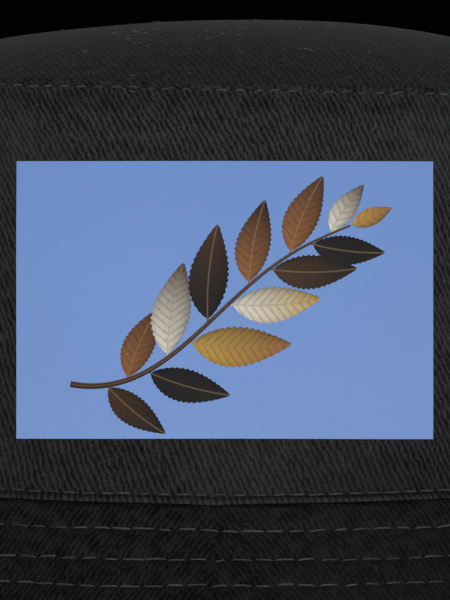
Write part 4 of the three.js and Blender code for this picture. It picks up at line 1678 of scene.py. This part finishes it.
class HAT_OT_studio(bpy.types.Operator):
    """Pale floor and backdrop, soft lights and the camera"""

    bl_idname = "hat.studio"
    bl_label = "Studio"

    def execute(self, context):
        scene = context.scene
        studio = scene.hat_studio
        self.sweep(studio)
        # Place and size of each light, in metres
        self.softbox("key_light", (0.40, -2.4, 0.28), (2.25, 0.5), studio.key_power)
        self.softbox("top_light", (0.0, 0.55, 1.05), (1.0, 0.8), studio.top_power)
        self.softbox("left_light", (-1.3, 0.5, 0.5), (0.8, 0.8), studio.side_power)
        self.softbox("right_light", (1.3, 0.5, 0.5), (0.8, 0.8), studio.side_power)
        self.air(scene, studio)
        scene.view_settings.view_transform = "Standard"
        self.camera(scene, studio)
        return {"FINISHED"}

    def air(self, scene, studio):
        """Even light from all round."""
        world = bpy.data.worlds.new("studio_air")
        scene.world = world
        world.use_nodes = True
        background = world.node_tree.nodes["Background"]
        background.inputs["Color"].default_value = (*studio.air_colour, 1)
        background.inputs["Strength"].default_value = studio.air

    def sweep(self, studio):
        """Round floor that curves up into a backdrop on every side: a level run, a quarter circle and an
        upright, turned about the middle."""
        middle_face = 0.05
        floor_reach = 3.6
        radius = 0.9
        height = 1.4
        bend = np.linspace(0, QUARTER_TURN, 24)
        out = np.concatenate([[middle_face], floor_reach + radius * np.sin(bend), [floor_reach + radius]])
        out = out[:, None]
        rise = np.concatenate([[0.0], radius * (1 - np.cos(bend)), [height]])[:, None]
        around = np.linspace(0, FULL_TURN, 96, endpoint=False)[None]
        points = points_of(out * np.cos(around), out * np.sin(around), rise)
        place = np.arange(points.shape[0] * points.shape[1]).reshape(points.shape[:2])
        after = np.roll(place, -1, axis=1)
        quads = np.stack([place[:-1], place[1:], after[1:], after[:-1]], axis=-1).reshape(-1, 4)
        mesh = bpy.data.meshes.new("studio_floor")
        mesh.from_pydata(points.reshape(-1, 3).tolist(), [], [place[0].tolist(), *quads.tolist()])
        mesh.materials.append(material_once("studio_paint", studio_material, studio))
        mesh.polygons.foreach_set("use_smooth", np.ones(len(mesh.polygons), dtype=bool))
        floor = bpy.data.objects.new("studio_floor", mesh)
        bpy.context.scene.collection.objects.link(floor)

    def softbox(self, name, place, size, strength):
        """Rectangular soft light that faces the middle of the hat."""
        aim = Vector((0, 0, 70 * MM))
        light = bpy.data.lights.new(name, "AREA")
        light.shape = "RECTANGLE"
        light.size, light.size_y = size
        light.energy = strength
        lamp = bpy.data.objects.new(name, light)
        lamp.location = place
        lamp.rotation_euler = (aim - Vector(place)).to_track_quat("-Z", "Y").to_euler()
        bpy.context.scene.collection.objects.link(lamp)

    def camera(self, scene, studio):
        """Camera in front of the crown, which looks a little down at it."""
        front = SIDE_LOW.y
        lens = bpy.data.cameras.new("camera")
        lens.sensor_fit = "VERTICAL"
        lens.angle = studio.view_turn
        lens.clip_start = 0.01
        view = bpy.data.objects.new("camera", lens)
        view.location = (studio.aim_across, front - studio.camera_away, studio.camera_height)
        aim = Vector((studio.aim_across, front, studio.aim_height))
        view.rotation_euler = (aim - view.location).to_track_quat("-Z", "Y").to_euler()
        scene.collection.objects.link(view)
        scene.camera = view


STEPS = (
    HAT_OT_side_panels,
    HAT_OT_tip,
    HAT_OT_brim,
    HAT_OT_lining,
    HAT_OT_stitching,
    HAT_OT_eyelets,
    HAT_OT_lint,
    HAT_OT_label,
    HAT_OT_print,
    HAT_OT_studio,
)
GROUPS = {
    "hat_shape": HatShape,
    "hat_cloth": HatCloth,
    "hat_stitching": HatStitching,
    "hat_print": HatPrint,
    "hat_studio": HatStudio,
}


class HAT_PT_panel(bpy.types.Panel):
    """Lists the hat's settings and steps"""

    bl_label = "Twill Bucket Hat"
    bl_space_type = "VIEW_3D"
    bl_region_type = "UI"
    bl_category = "Hat"

    def draw(self, context):
        for group in GROUPS:
            box = self.layout.box()
            settings = getattr(context.scene, group)
            for setting in settings.bl_rna.properties.keys():
                if setting not in ("rna_type", "name"):
                    box.prop(settings, setting)
        for step in STEPS:
            self.layout.operator(step.bl_idname)


def register():
    """Makes the settings, steps and panel known."""
    for made in (*GROUPS.values(), *STEPS, HAT_PT_panel):
        bpy.utils.register_class(made)
    for name, group in GROUPS.items():
        setattr(bpy.types.Scene, name, PointerProperty(type=group))


def unregister():
    """Takes them back, in reverse."""
    for name in GROUPS:
        delattr(bpy.types.Scene, name)
    for made in (HAT_PT_panel, *reversed(STEPS), *reversed(GROUPS.values())):
        bpy.utils.unregister_class(made)


def main():
    """Runs every step in order."""
    register()
    for step in STEPS:
        group, name = step.bl_idname.split(".")
        getattr(getattr(bpy.ops, group), name)()


if __name__ == "__main__":
    main()
